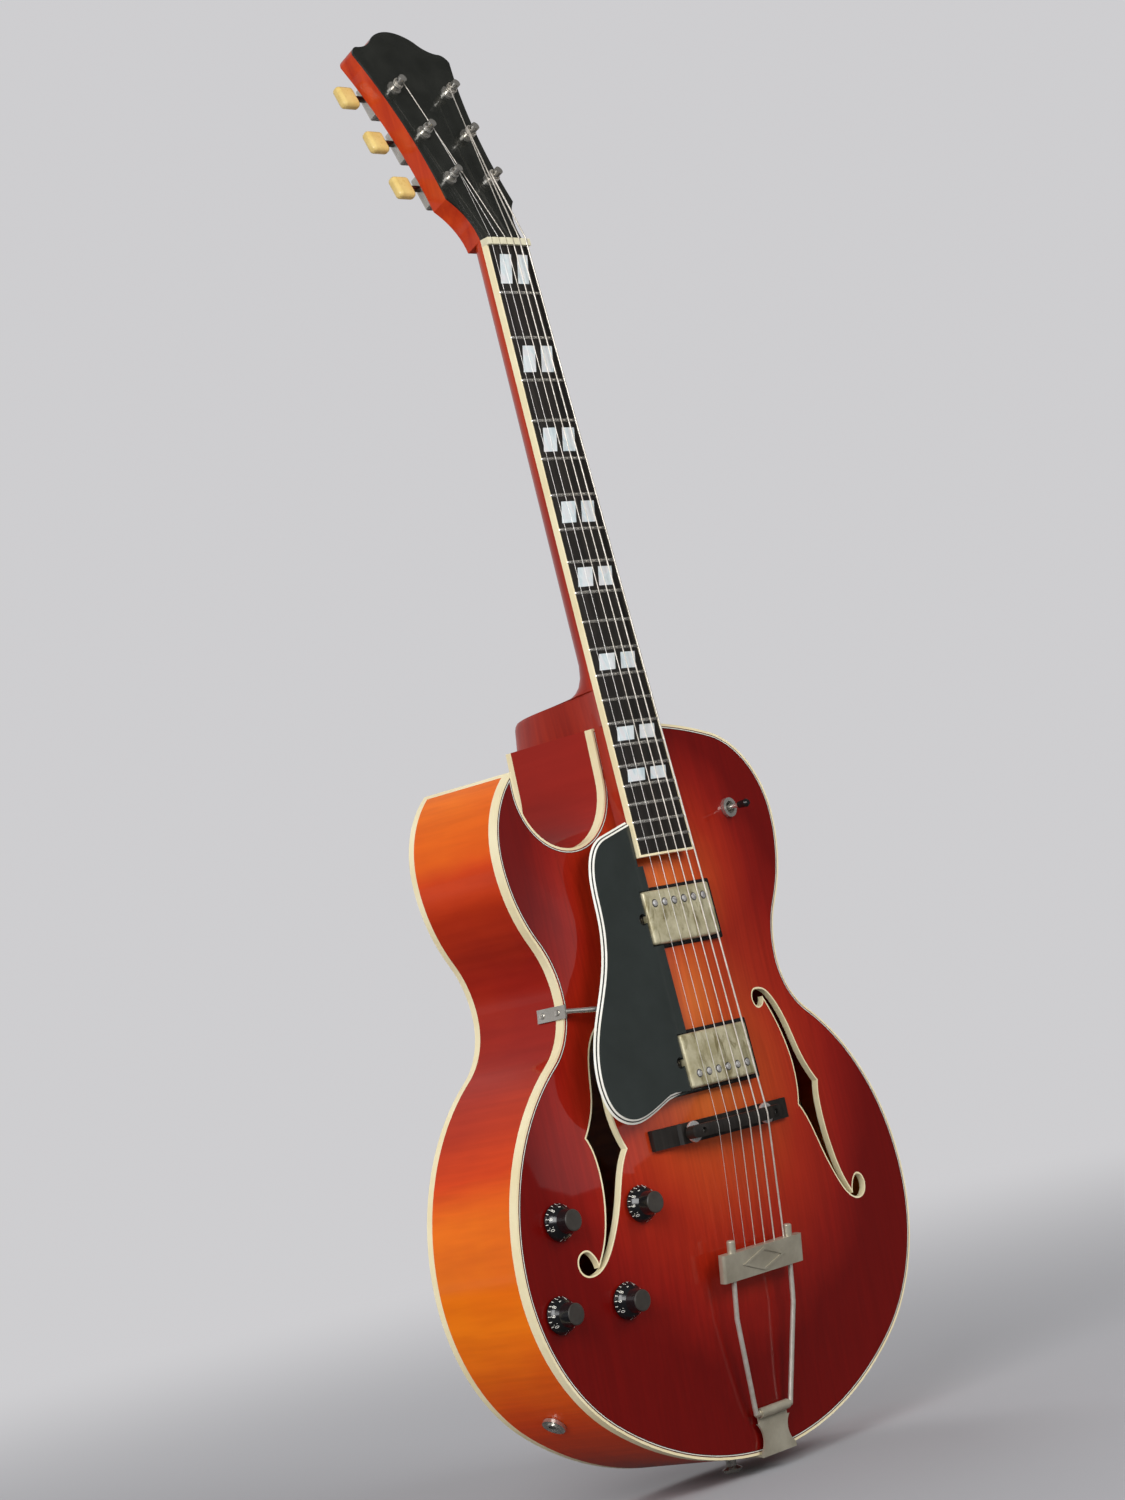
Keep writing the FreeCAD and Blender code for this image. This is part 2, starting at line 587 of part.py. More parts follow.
def pickup_stations():
    end = nut_station() - board_end() * math.cos(math.radians(size("neck_pitch")))
    return (("neck", end - size("neck_pickup_gap")), ("bridge", size("bridge_station") + size("bridge_pickup_gap")))


def pickup_wells():
    wells = []
    play = 2 * size("ring_play") + 2
    across, along = size("pickup_length") + play, size("pickup_width") + play
    for name, station in pickup_stations():
        well = Part.makeBox(across, along, size("rim_depth"), Vector(-across / 2, -along / 2, -size("rim_depth") / 2))
        well.Placement = pickup_place(station, size("pickup_depth"))
        wells.append(well)
    return wells


def knob_place(label, lift):
    x, z = size(label + "_inset") - size("lower_bout_half"), size(label + "_rise")
    normal = top_normal(x, z)
    return facing(Vector(x, top_y(x, z), z) + normal * lift, normal)


def toggle_spot():
    return size("upper_bout_half") - size("toggle_inset"), size("body_length") - size("toggle_drop")


def control_holes():
    play = size("post_gap")
    holes = []
    for label in knob_names:
        hole = Part.makeCylinder(size("pot_bushing_radius") + play, size("rim_depth") / 2,
                                 Vector(0, 0, -size("rim_depth") / 4))
        hole.Placement = knob_place(label, 0)
        holes.append(hole)
    x, z = toggle_spot()
    holes.append(Part.makeCylinder(size("toggle_bushing_radius") + play, size("rim_depth"),
                                   Vector(x, -1.2 * size("rim_depth"), z), Vector(0, 1, 0)))
    return holes


def jack_place():
    # on the rim, facing outwards
    arcs = outline_arcs()
    centre, radius = arcs[1][0], arcs[1][1]
    angle = size("jack_angle")
    middle = (-centre[0], centre[1])
    return facing(polar(middle, radius, angle), polar((0, 0), 1, angle))


def jack_hole():
    hole = Part.makeCylinder(size("jack_tube_radius") + size("post_gap"), 4 * size("jack_length"),
                             Vector(0, 0, -2 * size("jack_length")))
    hole.Placement = jack_place()
    return hole


def strap_hole():
    return Part.makeCylinder(size("strap_shank_radius") + size("post_gap"), size("strap_shank_length") + 2)


def tenon(play):
    # the neck's tongue into the head block
    half, length = size("tenon_half") + play, size("body_length")
    front = -size("rim_depth") / 2 + size("plate_thickness") + 6 - play
    return box(Vector(-half, front, length - size("tenon_length") - play),
               Vector(half, front + size("tenon_depth") + 2 * play, length + 8))


def neck_law(joint, slim, thick, reach):
    # (distance from the nut, depth behind the fingerboard, squareness) down the neck and round the heel
    top, sweep, round_off = joint - size("heel_length"), size("heel_sweep"), size("heel_round")
    law = [(-12, slim, 0.9), (0, slim, 0.9), (0.35 * joint, (slim + thick) / 2, 0.9), (top - sweep, thick, 0.85)]
    for angle, square in ((25, 0.8), (45, 0.75), (60, 0.68), (72, 0.6), (82, 0.54)):
        turn = math.radians(angle)
        law.append((top - sweep + sweep * math.sin(turn), thick + sweep * (1 - math.cos(turn)), square))
    for angle in (0, 25, 50, 75):
        turn = math.radians(angle)
        law.append((top + 0.6 + round_off * (1 - math.cos(turn)), reach - round_off * (1 - math.sin(turn)), 0.5))
    return law + [(joint, reach + 2, 0.42), (joint + 8, reach + 3, 0.42)]


def neck_section(distance, depth, square):
    # a D: flat under the fingerboard, round behind, and squarer towards the heel
    half, flat = board_width(distance) / 2, size("board_thickness")
    points = []
    for step in range(9):
        angle = math.pi * step / 8
        across = math.copysign(abs(math.cos(angle)) ** square, math.cos(angle))
        points.append(Vector(half * across, flat + depth * math.sin(angle) ** square, -distance))
    curve = Part.BSplineCurve()
    curve.interpolate(points)
    flat_edge = Part.LineSegment(points[-1], points[0]).toShape()
    return Part.Wire([curve.toShape(), flat_edge])


def make_neck():
    joint = neck_station(size("body_length"))
    slim, thick = size("neck_depth_at_nut"), size("neck_depth_at_twelfth")
    place = neck_place()
    reach = size("rim_depth") / 2 - place.multVec(Vector(0, size("board_thickness"), -joint)).y
    sections = []
    for distance, depth, square in neck_law(joint, slim, thick, reach):
        sections.append(neck_section(distance, depth, square))
    shaft = Part.makeLoft(sections, True, True)
    shaft.Placement = place
    head = Part.Face(head_outline(0)).extrude(Vector(0, size("head_thickness"), 0))
    head.Placement = head_place()
    far = size("body_length")
    front = box(Vector(-far, -far, -far), Vector(far, 0, far))
    front.Placement = head_place()
    nut_side = box(Vector(-far, -far, 0), Vector(far, far, far))
    nut_side.Placement = place
    blank = shaft.cut(front.common(nut_side)).cut(outline_block(0, -far, far))
    blank = blank.cut(box(Vector(-far, size("rim_depth") / 2, 0), Vector(far, far, nut_station())))
    tongue = taper_block(board_width(joint) / 2 - size("tongue_half"), joint - size("tongue_lap"), board_end() - 2,
                         size("board_thickness") + size("seat_gap"), size("rim_depth"))
    tongue.Placement = place
    floor = size("tongue_drop") - size("rim_depth") / 2
    above = tongue.cut(carved_under()).cut(box(Vector(-far, floor, 0), Vector(far, far, nut_station())))
    holes = [tuner_hole(tuner) for tuner in tuner_list()]
    neck = fused([blank, head, above, tenon(0)]).cut(holes).cut(truss_channel(size("post_gap")))
    feature("neck", neck)
    veneer = Part.Face(head_outline(0)).extrude(Vector(0, -size("veneer_thickness"), 0))
    veneer.Placement = head_place()
    feature("headstock_veneer", veneer.cut(holes))
    truss = doc.addObject("Part::Cylinder", "truss_rod")
    bind(truss, Radius="truss_rod_radius")
    truss.Height = truss_length()
    truss.Placement = place.multiply(truss_place())
    keep("truss_rod", truss)


def truss_length():
    return neck_station(size("body_length")) - size("truss_margin")


def truss_place():
    drop = size("board_thickness") + size("truss_rod_drop") + size("truss_rod_radius")
    return Placement(Vector(0, drop, -truss_length() - 6), Rotation())


def truss_channel(play):
    channel = Part.makeCylinder(size("truss_rod_radius") + play, truss_length())
    channel.Placement = neck_place().multiply(truss_place())
    return channel


def head_outline(y):
    # headstock: hollow flanks from the ears to the top corners, and a crown that dips and swells to its middle
    nut = size("nut_width") / 2
    ear_x, ear_z = size("head_ear_half"), size("head_ear_station")
    waist = Vector(size("head_waist_half"), y, size("head_waist_station"))
    corner = Vector(size("head_top_half"), y, size("head_top_station"))
    crown = Vector(size("head_crown_half"), y, size("head_crown_station"))
    peak = Vector(0, y, size("head_peak_station"))
    root = Vector(nut, y, 0)
    ear = Vector(ear_x, y, ear_z)
    throat = Vector(nut + 0.2 * (ear_x - nut), y, 0.6 * ear_z)
    bulge = Vector(size("head_shoulder"), 0, size("head_shoulder"))
    shoulder = (corner + crown) * 0.5 + bulge
    rise = Vector(size("head_rise_half"), y, size("head_rise_station"))
    dip = (crown + rise) * 0.5 - Vector(0, 0, size("head_dip"))
    swell = (rise + peak) * 0.5 + Vector(0, 0, size("head_swell"))
    right = [(root, throat, ear), (ear, waist, corner), (corner, shoulder, crown), (crown, dip, rise),
             (rise, swell, peak)]
    edges = [Part.Arc(*points).toShape() for points in right]
    for points in reversed(right):
        edges.append(Part.Arc(*[Vector(-p.x, p.y, p.z) for p in reversed(points)]).toShape())
    edges.append(Part.LineSegment(Vector(-nut, y, 0), root).toShape())
    return Part.Wire(edges)


def make_fingerboard():
    place = neck_place()
    thick, edge, end = size("board_thickness"), size("board_binding_thickness"), board_end()
    crown = crown_cylinder(0)
    outer = taper_block(0, 0, end, -thick, thick).common(crown)
    inner = taper_block(edge, 0, end - edge, -thick, thick).common(crown)
    marks = inlay_blocks()
    shell = crown.cut(crown_cylinder(-size("inlay_depth")))
    inlays = [shell.common(mark) for mark in marks]
    feature("fingerboard", inner.cut(inlays), place)
    feature("fingerboard_binding", outer.cut(inner), place)
    feature("inlays", Part.makeCompound(inlays), place)
    band = crown_cylinder(size("fret_height")).cut(crown)
    wires = []
    for number in range(1, int(size("fret_count")) + 1):
        distance = fret_distance(number)
        half = board_width(distance) / 2 - size("fret_inset")
        slot = box(Vector(-half, -thick, -distance - size("fret_width") / 2),
                   Vector(half, thick, -distance + size("fret_width") / 2))
        wires.append(band.common(slot))
    feature("frets", Part.makeCompound(wires), place)
    half = size("nut_width") / 2
    bone = box(Vector(-half, -thick, 0), Vector(half, thick, size("nut_thickness")))
    bone = bone.common(crown_cylinder(size("nut_rise")))
    slots = []
    for index, diameter in enumerate(string_diameters):
        wide = diameter / 2 + size("nut_slot_play")
        leave = Vector(string_x(index, "nut_spread"), string_nut_y(index), size("nut_thickness") + 1)
        arrive = place.inverse().multVec(string_rest(index))
        along = (leave - arrive).normalize()
        slots.append(rod(leave - along * 2 * size("nut_thickness"), leave + along, wide))
        slots.append(box(Vector(leave.x - wide, -2 * thick, -1), Vector(leave.x + wide, leave.y, leave.z)))
    feature("nut", bone.cut(slots), place)


def inlay_blocks():
    # two slanted blocks side by side, half way between two frets
    blocks = []
    deep = size("board_thickness")
    inner = size("inlay_split") / 2
    for number in inlay_frets:
        room = fret_distance(number) - fret_distance(number - 1)
        middle = fret_distance(number) - room / 2
        tall = size("inlay_share") * room / 2
        lean = tall * math.tan(math.radians(size("inlay_lean")))
        outer = board_width(middle) / 2 - size("board_binding_thickness") - size("inlay_margin")
        for low, high in ((-outer, -inner), (inner, outer)):
            corners = ((low + lean, tall), (high + lean, tall), (high - lean, -tall), (low - lean, -tall))
            points = [Vector(x, -deep, z - middle) for x, z in corners]
            blocks.append(Part.Face(Part.makePolygon(points + points[:1])).extrude(Vector(0, 2 * deep, 0)))
    return blocks


def tuner_list():
    # (side, x, station) in the headstock's frame; string 0 is the bass, on the viewer's right
    rows = [(size("post_half_" + row), size("post_station_" + row)) for row in ("low", "mid", "high")]
    right = [(1, half, station) for half, station in rows]
    left = [(-1, -half, station) for half, station in reversed(rows)]
    return right + left


def tuner_place(tuner, local):
    return head_place().multiply(Placement(Vector(tuner[1], 0, tuner[2]), Rotation())).multiply(local)


def to_front():
    return Placement(Vector(0, 0, 0), Rotation(Vector(1, 0, 0), 90))


def tuner_hole(tuner):
    hole = Part.makeCylinder(size("sleeve_radius") + size("post_gap"), 4 * size("head_thickness"),
                             Vector(0, 0, -2 * size("head_thickness")))
    hole.Placement = tuner_place(tuner, to_front())
    return hole


def housing_shape(side):
    # stamped case under the headstock, bored for the post and for the worm shaft
    wide, long, deep = size("housing_width"), size("housing_length"), size("housing_depth")
    back = size("head_thickness")
    low = Vector(-wide / 2 + side * 2.5, back, -long / 2 + size("worm_offset") / 2)
    case = box(low, Vector(low.x + wide, back + deep, low.z + long))
    rims = [edge for edge in case.Edges if edge.CenterOfMass.y > back + 0.1]
    case = case.makeFillet(2, rims)
    play = size("post_gap")
    well = rod(Vector(0, back - 1, 0), Vector(0, back + deep - 2, 0), size("post_neck_radius") + play)
    bore = rod(Vector(0, back + deep / 2, size("worm_offset")),
               Vector(side * wide, back + deep / 2, size("worm_offset")), size("key_shaft_radius") + play)
    inner = box(Vector(-wide, back - 5, -long), Vector(0, back + 2 * deep, 2 * long))
    inside = bore.cut(inner) if side > 0 else bore.cut(inner.mirror(Vector(0, 0, 0), Vector(1, 0, 0)))
    return case.cut([well, inside])


def key_shape(side):
    back, deep = size("head_thickness"), size("housing_depth")
    level, wide = back + deep / 2, size("housing_width")
    start = wide / 2 + 2.5 - size("key_shaft_inside")
    reach, length = size("key_reach"), size("button_length")
    shaft = rod(Vector(side * start, level, size("worm_offset")), Vector(side * (reach + 3), level, size("worm_offset")),
                size("key_shaft_radius"))
    low = Vector(min(side * reach, side * (reach + length)), level - size("button_thickness") / 2,
                 size("worm_offset") - size("button_width") / 2)
    grip = box(low, low + Vector(length, size("button_thickness"), size("button_width")))
    grip = grip.makeFillet(size("button_round"), grip.Edges)
    return fused([shaft, grip])


def make_tuners():
    tuners = tuner_list()
    post = turned("post_pattern", [
        ("0", "0"), ("post_neck_radius", "0"), ("post_neck_radius", "head_thickness + housing_depth - 3"),
        ("post_radius", "head_thickness + housing_depth - 3"),
        ("post_radius", "head_thickness + housing_depth + post_rise - 3"),
        ("0", "head_thickness + housing_depth + post_rise - 3")])
    bush = turned("bushing_pattern", [
        ("post_radius + post_gap", "0"), ("sleeve_radius", "0"), ("sleeve_radius", "8"), ("bushing_radius", "8"),
        ("bushing_radius", "bushing_height + 8"), ("post_radius + post_gap", "bushing_height + 8")])
    housings, bushings = [], []
    for number, tuner in enumerate(tuners, 1):
        side = tuner[0]
        plain = tuner_place(tuner, Placement())
        housing = housing_shape(side)
        housing.Placement = plain
        housings.append(housing)
        sleeve = bush.Shape.copy()
        sink = Placement(Vector(0, 8 - size("veneer_thickness"), 0), Rotation())
        sleeve.Placement = tuner_place(tuner, sink.multiply(to_front()))
        bushings.append(sleeve)
        drop = Placement(Vector(0, size("head_thickness") + size("housing_depth") - 3, 0), Rotation())
        pin = post.Shape.copy()
        pin.Placement = Placement()
        eye = rod(Vector(-9, 0, total("head_thickness + housing_depth + post_rise - 6")),
                  Vector(9, 0, total("head_thickness + housing_depth + post_rise - 6")), 0.9)
        feature("tuner_post_%d" % number, pin.cut(eye), tuner_place(tuner, drop.multiply(to_front())))
        feature("tuner_key_%d" % number, key_shape(side), plain)
    feature("tuner_housings", Part.makeCompound(housings))
    feature("tuner_bushings", Part.makeCompound(bushings))


def string_x(index, spread):
    count = len(string_diameters)
    return size(spread) * (0.5 - index / (count - 1.0))


def string_nut_y(index):
    x = string_x(index, "nut_spread")
    radius = size("board_radius")
    sag = radius - math.sqrt(radius ** 2 - x ** 2)
    return sag - size("string_nut_height") - string_diameters[index] / 2


def saddle_crown(x):
    radius = size("board_radius")
    return -size("rim_depth") / 2 - size("saddle_top_rise") + radius - math.sqrt(radius ** 2 - x ** 2)


def string_rest(index):
    # where a string crosses the saddle's crest
    x = string_x(index, "saddle_spread")
    return Vector(x, saddle_crown(x) - string_diameters[index] / 2 - size("string_gap"), size("bridge_station"))


def trapeze_place():
    return Placement(Vector(0, -size("rim_depth") / 2 - size("hinge_rise"), size("hinge_station")),
                     Rotation(Vector(1, 0, 0), size("trapeze_lean")))


def winding_points(tuner, diameter, arrive):
    # tangent point on the post's inner side, then a falling spiral, in the headstock's frame
    side, x, station = tuner
    radius = size("post_radius") + size("winding_gap") + diameter / 2
    dx, dz = arrive.x - x, arrive.z - station
    away = math.atan2(dz, dx)
    open_angle = math.acos(radius / math.hypot(dx, dz))
    start = away - side * open_angle
    height = -size("veneer_thickness") - size("winding_height")
    points = []
    eighths = int(8 * size("winding_turns"))
    for step in range(eighths + 1):
        angle = start - side * math.pi / 4 * step
        points.append(Vector(x + radius * math.cos(angle), height + (diameter + size("turn_gap")) * step / 8.0,
                             station + radius * math.sin(angle)))
    return points


def least_gap(path, diameter):
    # nearest approach of the string to itself, over points at least half a turn apart
    turn = math.pi * (size("post_radius") + size("winding_gap") + diameter / 2)
    spacing = 0.4
    tail = path.Length - 2.4 * turn * size("winding_turns")
    points = [point for point in path.discretize(Distance=spacing)][int(tail / spacing):]
    apart = int(turn / spacing)
    nearest = min(points[i].distanceToPoint(points[j])
                  for i in range(len(points)) for j in range(i + apart, len(points)))
    return nearest - diameter


def bend(before, corner, after, radius):
    # a tangent arc at a corner of the string
    start, end = (before - corner).normalize(), (after - corner).normalize()
    half = start.getAngle(end) / 2
    setback = radius / math.tan(half)
    inward = (start + end).normalize()
    middle = corner + inward * (radius / math.sin(half) - radius)
    return corner + start * setback, middle, corner + end * setback


def make_strings():
    wires = []
    neck, head, trapeze = neck_place(), head_place(), trapeze_place()
    tuners = tuner_list()
    for index, diameter in enumerate(string_diameters):
        x = string_x(index, "saddle_spread")
        anchor = trapeze.multVec(Vector(x, 0, size("bar_start") + size("bar_height") + size("string_gap")))
        rest = string_rest(index)
        slot = neck.multVec(Vector(string_x(index, "nut_spread"), string_nut_y(index), size("nut_thickness") + 1))
        spiral = [head.multVec(point)
                  for point in winding_points(tuners[index], diameter, head.inverse().multVec(slot))]
        edges = []
        place = anchor
        corners = [anchor, rest, slot, spiral[0]]
        for number in (1, 2):
            start, middle, end = bend(corners[number - 1], corners[number], corners[number + 1], size("string_bend"))
            edges.append(Part.LineSegment(place, start).toShape())
            edges.append(Part.Arc(start, middle, end).toShape())
            place = end
        edges.append(Part.LineSegment(place, spiral[0]).toShape())
        for step in range(0, len(spiral) - 1, 2):
            edges.append(Part.Arc(spiral[step], spiral[step + 1], spiral[step + 2]).toShape())
        path = Part.Wire(edges)
        ring = Part.Wire([Part.Circle(anchor, rest - anchor, diameter / 2).toShape()])
        shell = Part.BRepOffsetAPI.MakePipeShell(path)
        shell.add(ring)
        shell.build()
        shell.makeSolid()
        wire = shell.shape()
        print("string %d: least gap to itself %.2f mm" % (index + 1, least_gap(path, diameter)))
        wires.append(wire)
    feature("strings", Part.makeCompound(wires))


def make_bridge():
    z, width = size("bridge_station"), size("bridge_width")
    crown = top_y(0, z)
    plateau = crown - size("bridge_plateau_height")
    half, flat = size("bridge_half"), size("bridge_plateau_half")
    tip = top_y(half, z) - size("bridge_end_height")
    wing = top_y(flat, z) - size("bridge_wing_height")
    low = z - width / 2
    top_points = [Vector(half, tip, low), Vector(flat + 1, wing, low), Vector(flat - 1, plateau, low)]
    mirrored = [Vector(-p.x, p.y, p.z) for p in reversed(top_points)]
    below = [Vector(-half, crown + 30, low), Vector(half, crown + 30, low)]
    outline = top_points + mirrored + below
    blank = Part.Face(Part.makePolygon(outline + outline[:1])).extrude(Vector(0, 0, width))
    post_bores, posts = [], []
    saddle_base = plateau - size("wheel_gap") - size("wheel_thickness") - 2 * size("wheel_play")
    for side in (-1, 1):
        x = side * size("bridge_post_offset")
        foot = Vector(x, plateau + size("bridge_post_seat"), z)
        head = Vector(x, saddle_crown(x) + size("post_sink"), z)
        post_bores.append(rod(foot, head, size("bridge_post_radius")))
        posts.append(rod(foot, head, size("bridge_post_radius")))
    feature("bridge_base", blank.cut(carved_under()).cut(post_bores))
    feature("bridge_posts", Part.makeCompound(posts))
    wheel_y = plateau - size("wheel_gap")
    for name, side in (("bass", 1), ("treble", -1)):
        wheel = turned("thumbwheel_" + name, [
            ("bridge_post_radius + wheel_play", "0"), ("wheel_radius - 0.6", "0"), ("wheel_radius", "0.6"),
            ("wheel_radius", "wheel_thickness - 0.6"), ("wheel_radius - 0.6", "wheel_thickness"),
            ("bridge_post_radius + wheel_play", "wheel_thickness")])
        wheel.Placement = facing(Vector(side * size("bridge_post_offset"), wheel_y, z), Vector(0, -1, 0))
        keep("thumbwheel_" + name, wheel)
    make_saddle(z, saddle_base)


def make_saddle(z, base):
    # a crowned bar with rounded ends, hollowed along its underside between the posts
    half, width = size("saddle_half"), size("saddle_width")
    rise, radius = size("saddle_top_rise"), size("board_radius")
    block = box(Vector(-half, base - rise, z - width / 2), Vector(half, base, z + width / 2))
    top = -size("rim_depth") / 2 - rise
    fall = width * math.tan(math.radians(size("saddle_crest_angle")))
    centre = Vector(0, top + radius, z)
    crown = fused([Part.makeCone(radius, radius - fall, width, centre, Vector(0, 0, side)) for side in (-1, 1)])
    ends = [edge for edge in block.Edges if abs(edge.CenterOfMass.y - base + rise / 2) < 0.01]
    saddle = block.makeFillet(size("saddle_width") / 2 - 0.1, ends).common(crown)
    reach = size("saddle_waist")
    hollow = radius * 0.55
    scoop = Part.makeCylinder(hollow, width * 2, Vector(0, base - 2.2 + hollow, z - width), Vector(0, 0, 1))
    scoop = scoop.common(box(Vector(-reach, base - rise, z - width), Vector(reach, base + 1, z + width)))
    bores = []
    for side in (-1, 1):
        foot = Vector(side * size("bridge_post_offset"), base + 1, z)
        bores.append(rod(foot, foot - Vector(0, rise, 0), size("bridge_post_radius") + size("saddle_play")))
    feature("bridge_saddle", saddle.cut(bores + [scoop]))


def make_tailpiece():
    # a bent channel with a raised diamond, on two rods that draw in to the hinge pins
    place = trapeze_place()
    thick, height, half = (size("bar_" + key) for key in ("thickness", "height", "half"))
    start = size("bar_start")
    wall, round_off = size("bar_wall"), size("bar_round")
    bar = box(Vector(-half, -thick / 2, start), Vector(half, thick / 2, start + height))
    uprights = [edge for edge in bar.Edges if abs(edge.CenterOfMass.z - start - height / 2) < 0.01]
    bar = bar.makeFillet(round_off, uprights)
    channel = box(Vector(-half + wall, -thick / 2 + wall, start - 1),
                  Vector(half - wall, thick, start + height - wall))
    pieces = [bar.cut(channel), diamond_frame(-thick / 2, start + height / 2)]
    for side in (-1, 1):
        low = Vector(side * size("rod_low_half"), 0, 0)
        bend_at = Vector(side * size("rod_high_half"), 0, start - size("rod_straight"))
        high = Vector(bend_at.x, 0, start + height - wall / 2)
        pieces += [rod(low, bend_at, size("rod_radius")), rod(bend_at, high, size("rod_radius"))]
        pieces += [Part.makeSphere(size("rod_radius"), corner) for corner in (low, bend_at)]
        inward = size("rod_low_half") - size("hinge_barrel_half") + size("hinge_pin_length")
        pieces.append(rod(low, low - Vector(side * inward, 0, 0), size("hinge_pin_radius")))
        foot = Vector(bend_at.x, 0, start + height - 0.2)
        cap = rod(foot, foot + Vector(0, 0, size("cap_height")), size("cap_radius"))
        pieces.append(cap.makeFillet(1.0, [cap.Edges[0]]))
    feature("tailpiece", fused(pieces), place)
    make_hinge(place)


def diamond_frame(face, middle):
    # four raised bars that make a lozenge on the front of the tailpiece
    def lozenge(scale):
        across, along = size("diamond_half") * scale, (size("bar_height") / 2 - 1.5) * scale
        corners = [Vector(-across, face + 0.4, middle), Vector(0, face + 0.4, middle + along),
                   Vector(across, face + 0.4, middle), Vector(0, face + 0.4, middle - along)]
        return Part.Face(Part.makePolygon(corners + corners[:1])).extrude(Vector(0, -size("diamond_rise") - 0.4, 0))
    return lozenge(1).cut(lozenge(1 - 2 * size("diamond_rim") / (size("bar_height") / 2)))


def make_hinge(place):
    thick, half = size("hinge_plate_thickness"), size("hinge_plate_half")
    front = -size("rim_depth") / 2 - size("hinge_rise") + size("hinge_barrel_radius") - thick
    axis = place.Base
    leaf = box(Vector(-half, front, -thick), Vector(half, front + thick, axis.z))
    drop = -size("rim_depth") / 2 + size("hinge_plate_drop")
    bent = outline_block(-thick, front, drop).cut(outline_block(0, front - 1, drop + 1))
    bent = bent.common(box(Vector(-half, front, -thick - 1), Vector(half, drop, half)))
    barrel_half = size("hinge_barrel_half")
    barrel = rod(Vector(-barrel_half, axis.y, axis.z), Vector(barrel_half, axis.y, axis.z), size("hinge_barrel_radius"))
    hole = rod(Vector(-half - 1, axis.y, axis.z), Vector(half + 1, axis.y, axis.z),
               size("hinge_pin_radius") + size("hinge_play"))
    room = [box(Vector(side * (barrel_half + half) / 2 - (half - barrel_half) / 2 - 0.01, front - 20,
                       axis.z - 2 * size("hinge_barrel_radius")),
                Vector(side * (barrel_half + half) / 2 + (half - barrel_half) / 2 + 0.01, front + 20, axis.z + 20))
            for side in (-1, 1)]
    waist = size("hinge_waist")
    scoop = 0.45 * axis.z
    scoops = [rod(Vector(side * (half - waist + scoop), front - 1, axis.z * 0.42),
                  Vector(side * (half - waist + scoop), front + thick + 1, axis.z * 0.42), scoop) for side in (-1, 1)]
    plate = fused([leaf, bent, barrel]).cut([hole] + room + scoops)
    feature("tailpiece_hinge", plate)


def make_pickups():
    neck_side = {"neck": 1, "bridge": -1}
    for name, station in pickup_stations():
        cover = padded(name + "_pickup_cover", "pickup_length", "pickup_width", "pickup_depth", "pickup_round")
        cover.Placement = pickup_place(station, size("pickup_drop") + size("pickup_depth"))
        keep(name + "_pickup_cover", cover)
        across, along = size("ring_length"), size("ring_width")
        height = size("rim_depth")
        frame = Part.makeBox(across, along, height, Vector(-across / 2, -along / 2, -height))
        rims = [edge for edge in frame.Edges if edge.CenterOfMass.z > -height + 0.1]
        frame = frame.makeFillet(1.5, rims)
        play = 2 * size("ring_play")
        inner_x, inner_y = size("pickup_length") + play, size("pickup_width") + play
        frame = frame.cut(Part.makeBox(inner_x, inner_y, 3 * height, Vector(-inner_x / 2, -inner_y / 2, -2 * height)))
        frame.Placement = pickup_place(station, size("ring_drop"))
        feature(name + "_pickup_ring", frame.cut(carved_under()))
        poles = []
        for index in range(len(string_diameters)):
            x = (index - 2.5) * size("pole_spacing")
            poles.append(Part.makeCylinder(size("pole_radius"), size("pole_height"),
                                           Vector(x, neck_side[name] * size("pole_offset"), 0)))
        feature(name + "_pole_screws", Part.makeCompound(poles), pickup_place(station, size("pickup_drop")))


def guard_outline(y):
    # raised pickguard in the neck's frame; stations are above the tail
    def at(x, z):
        return Vector(x, y, -neck_station(z))
    inner = size("guard_inner_edge")
    end = nut_station() - board_end() + 1
    low, high = size("bridge_station") + size("guard_low_gap"), end + size("guard_high_reach")
    edge = board_width(neck_station(high)) / 2 + size("guard_clearance")
    flank = [(x, low + share * (high - low)) for x, share in guard_flank]
    first, last = flank[0], flank[-1]
    curve = Part.BSplineCurve()
    curve.interpolate([at(x, z) for x, z in flank])
    corners = [at(*last), at(-inner, last[1] + 2), at(-inner, end - 6), at(-edge - 1, end - 6), at(-edge, high + 1),
               at(*first)]
    lines = [Part.LineSegment(corners[i], corners[i + 1]).toShape() for i in range(len(corners) - 1)]
    return Part.Wire([curve.toShape()] + lines)


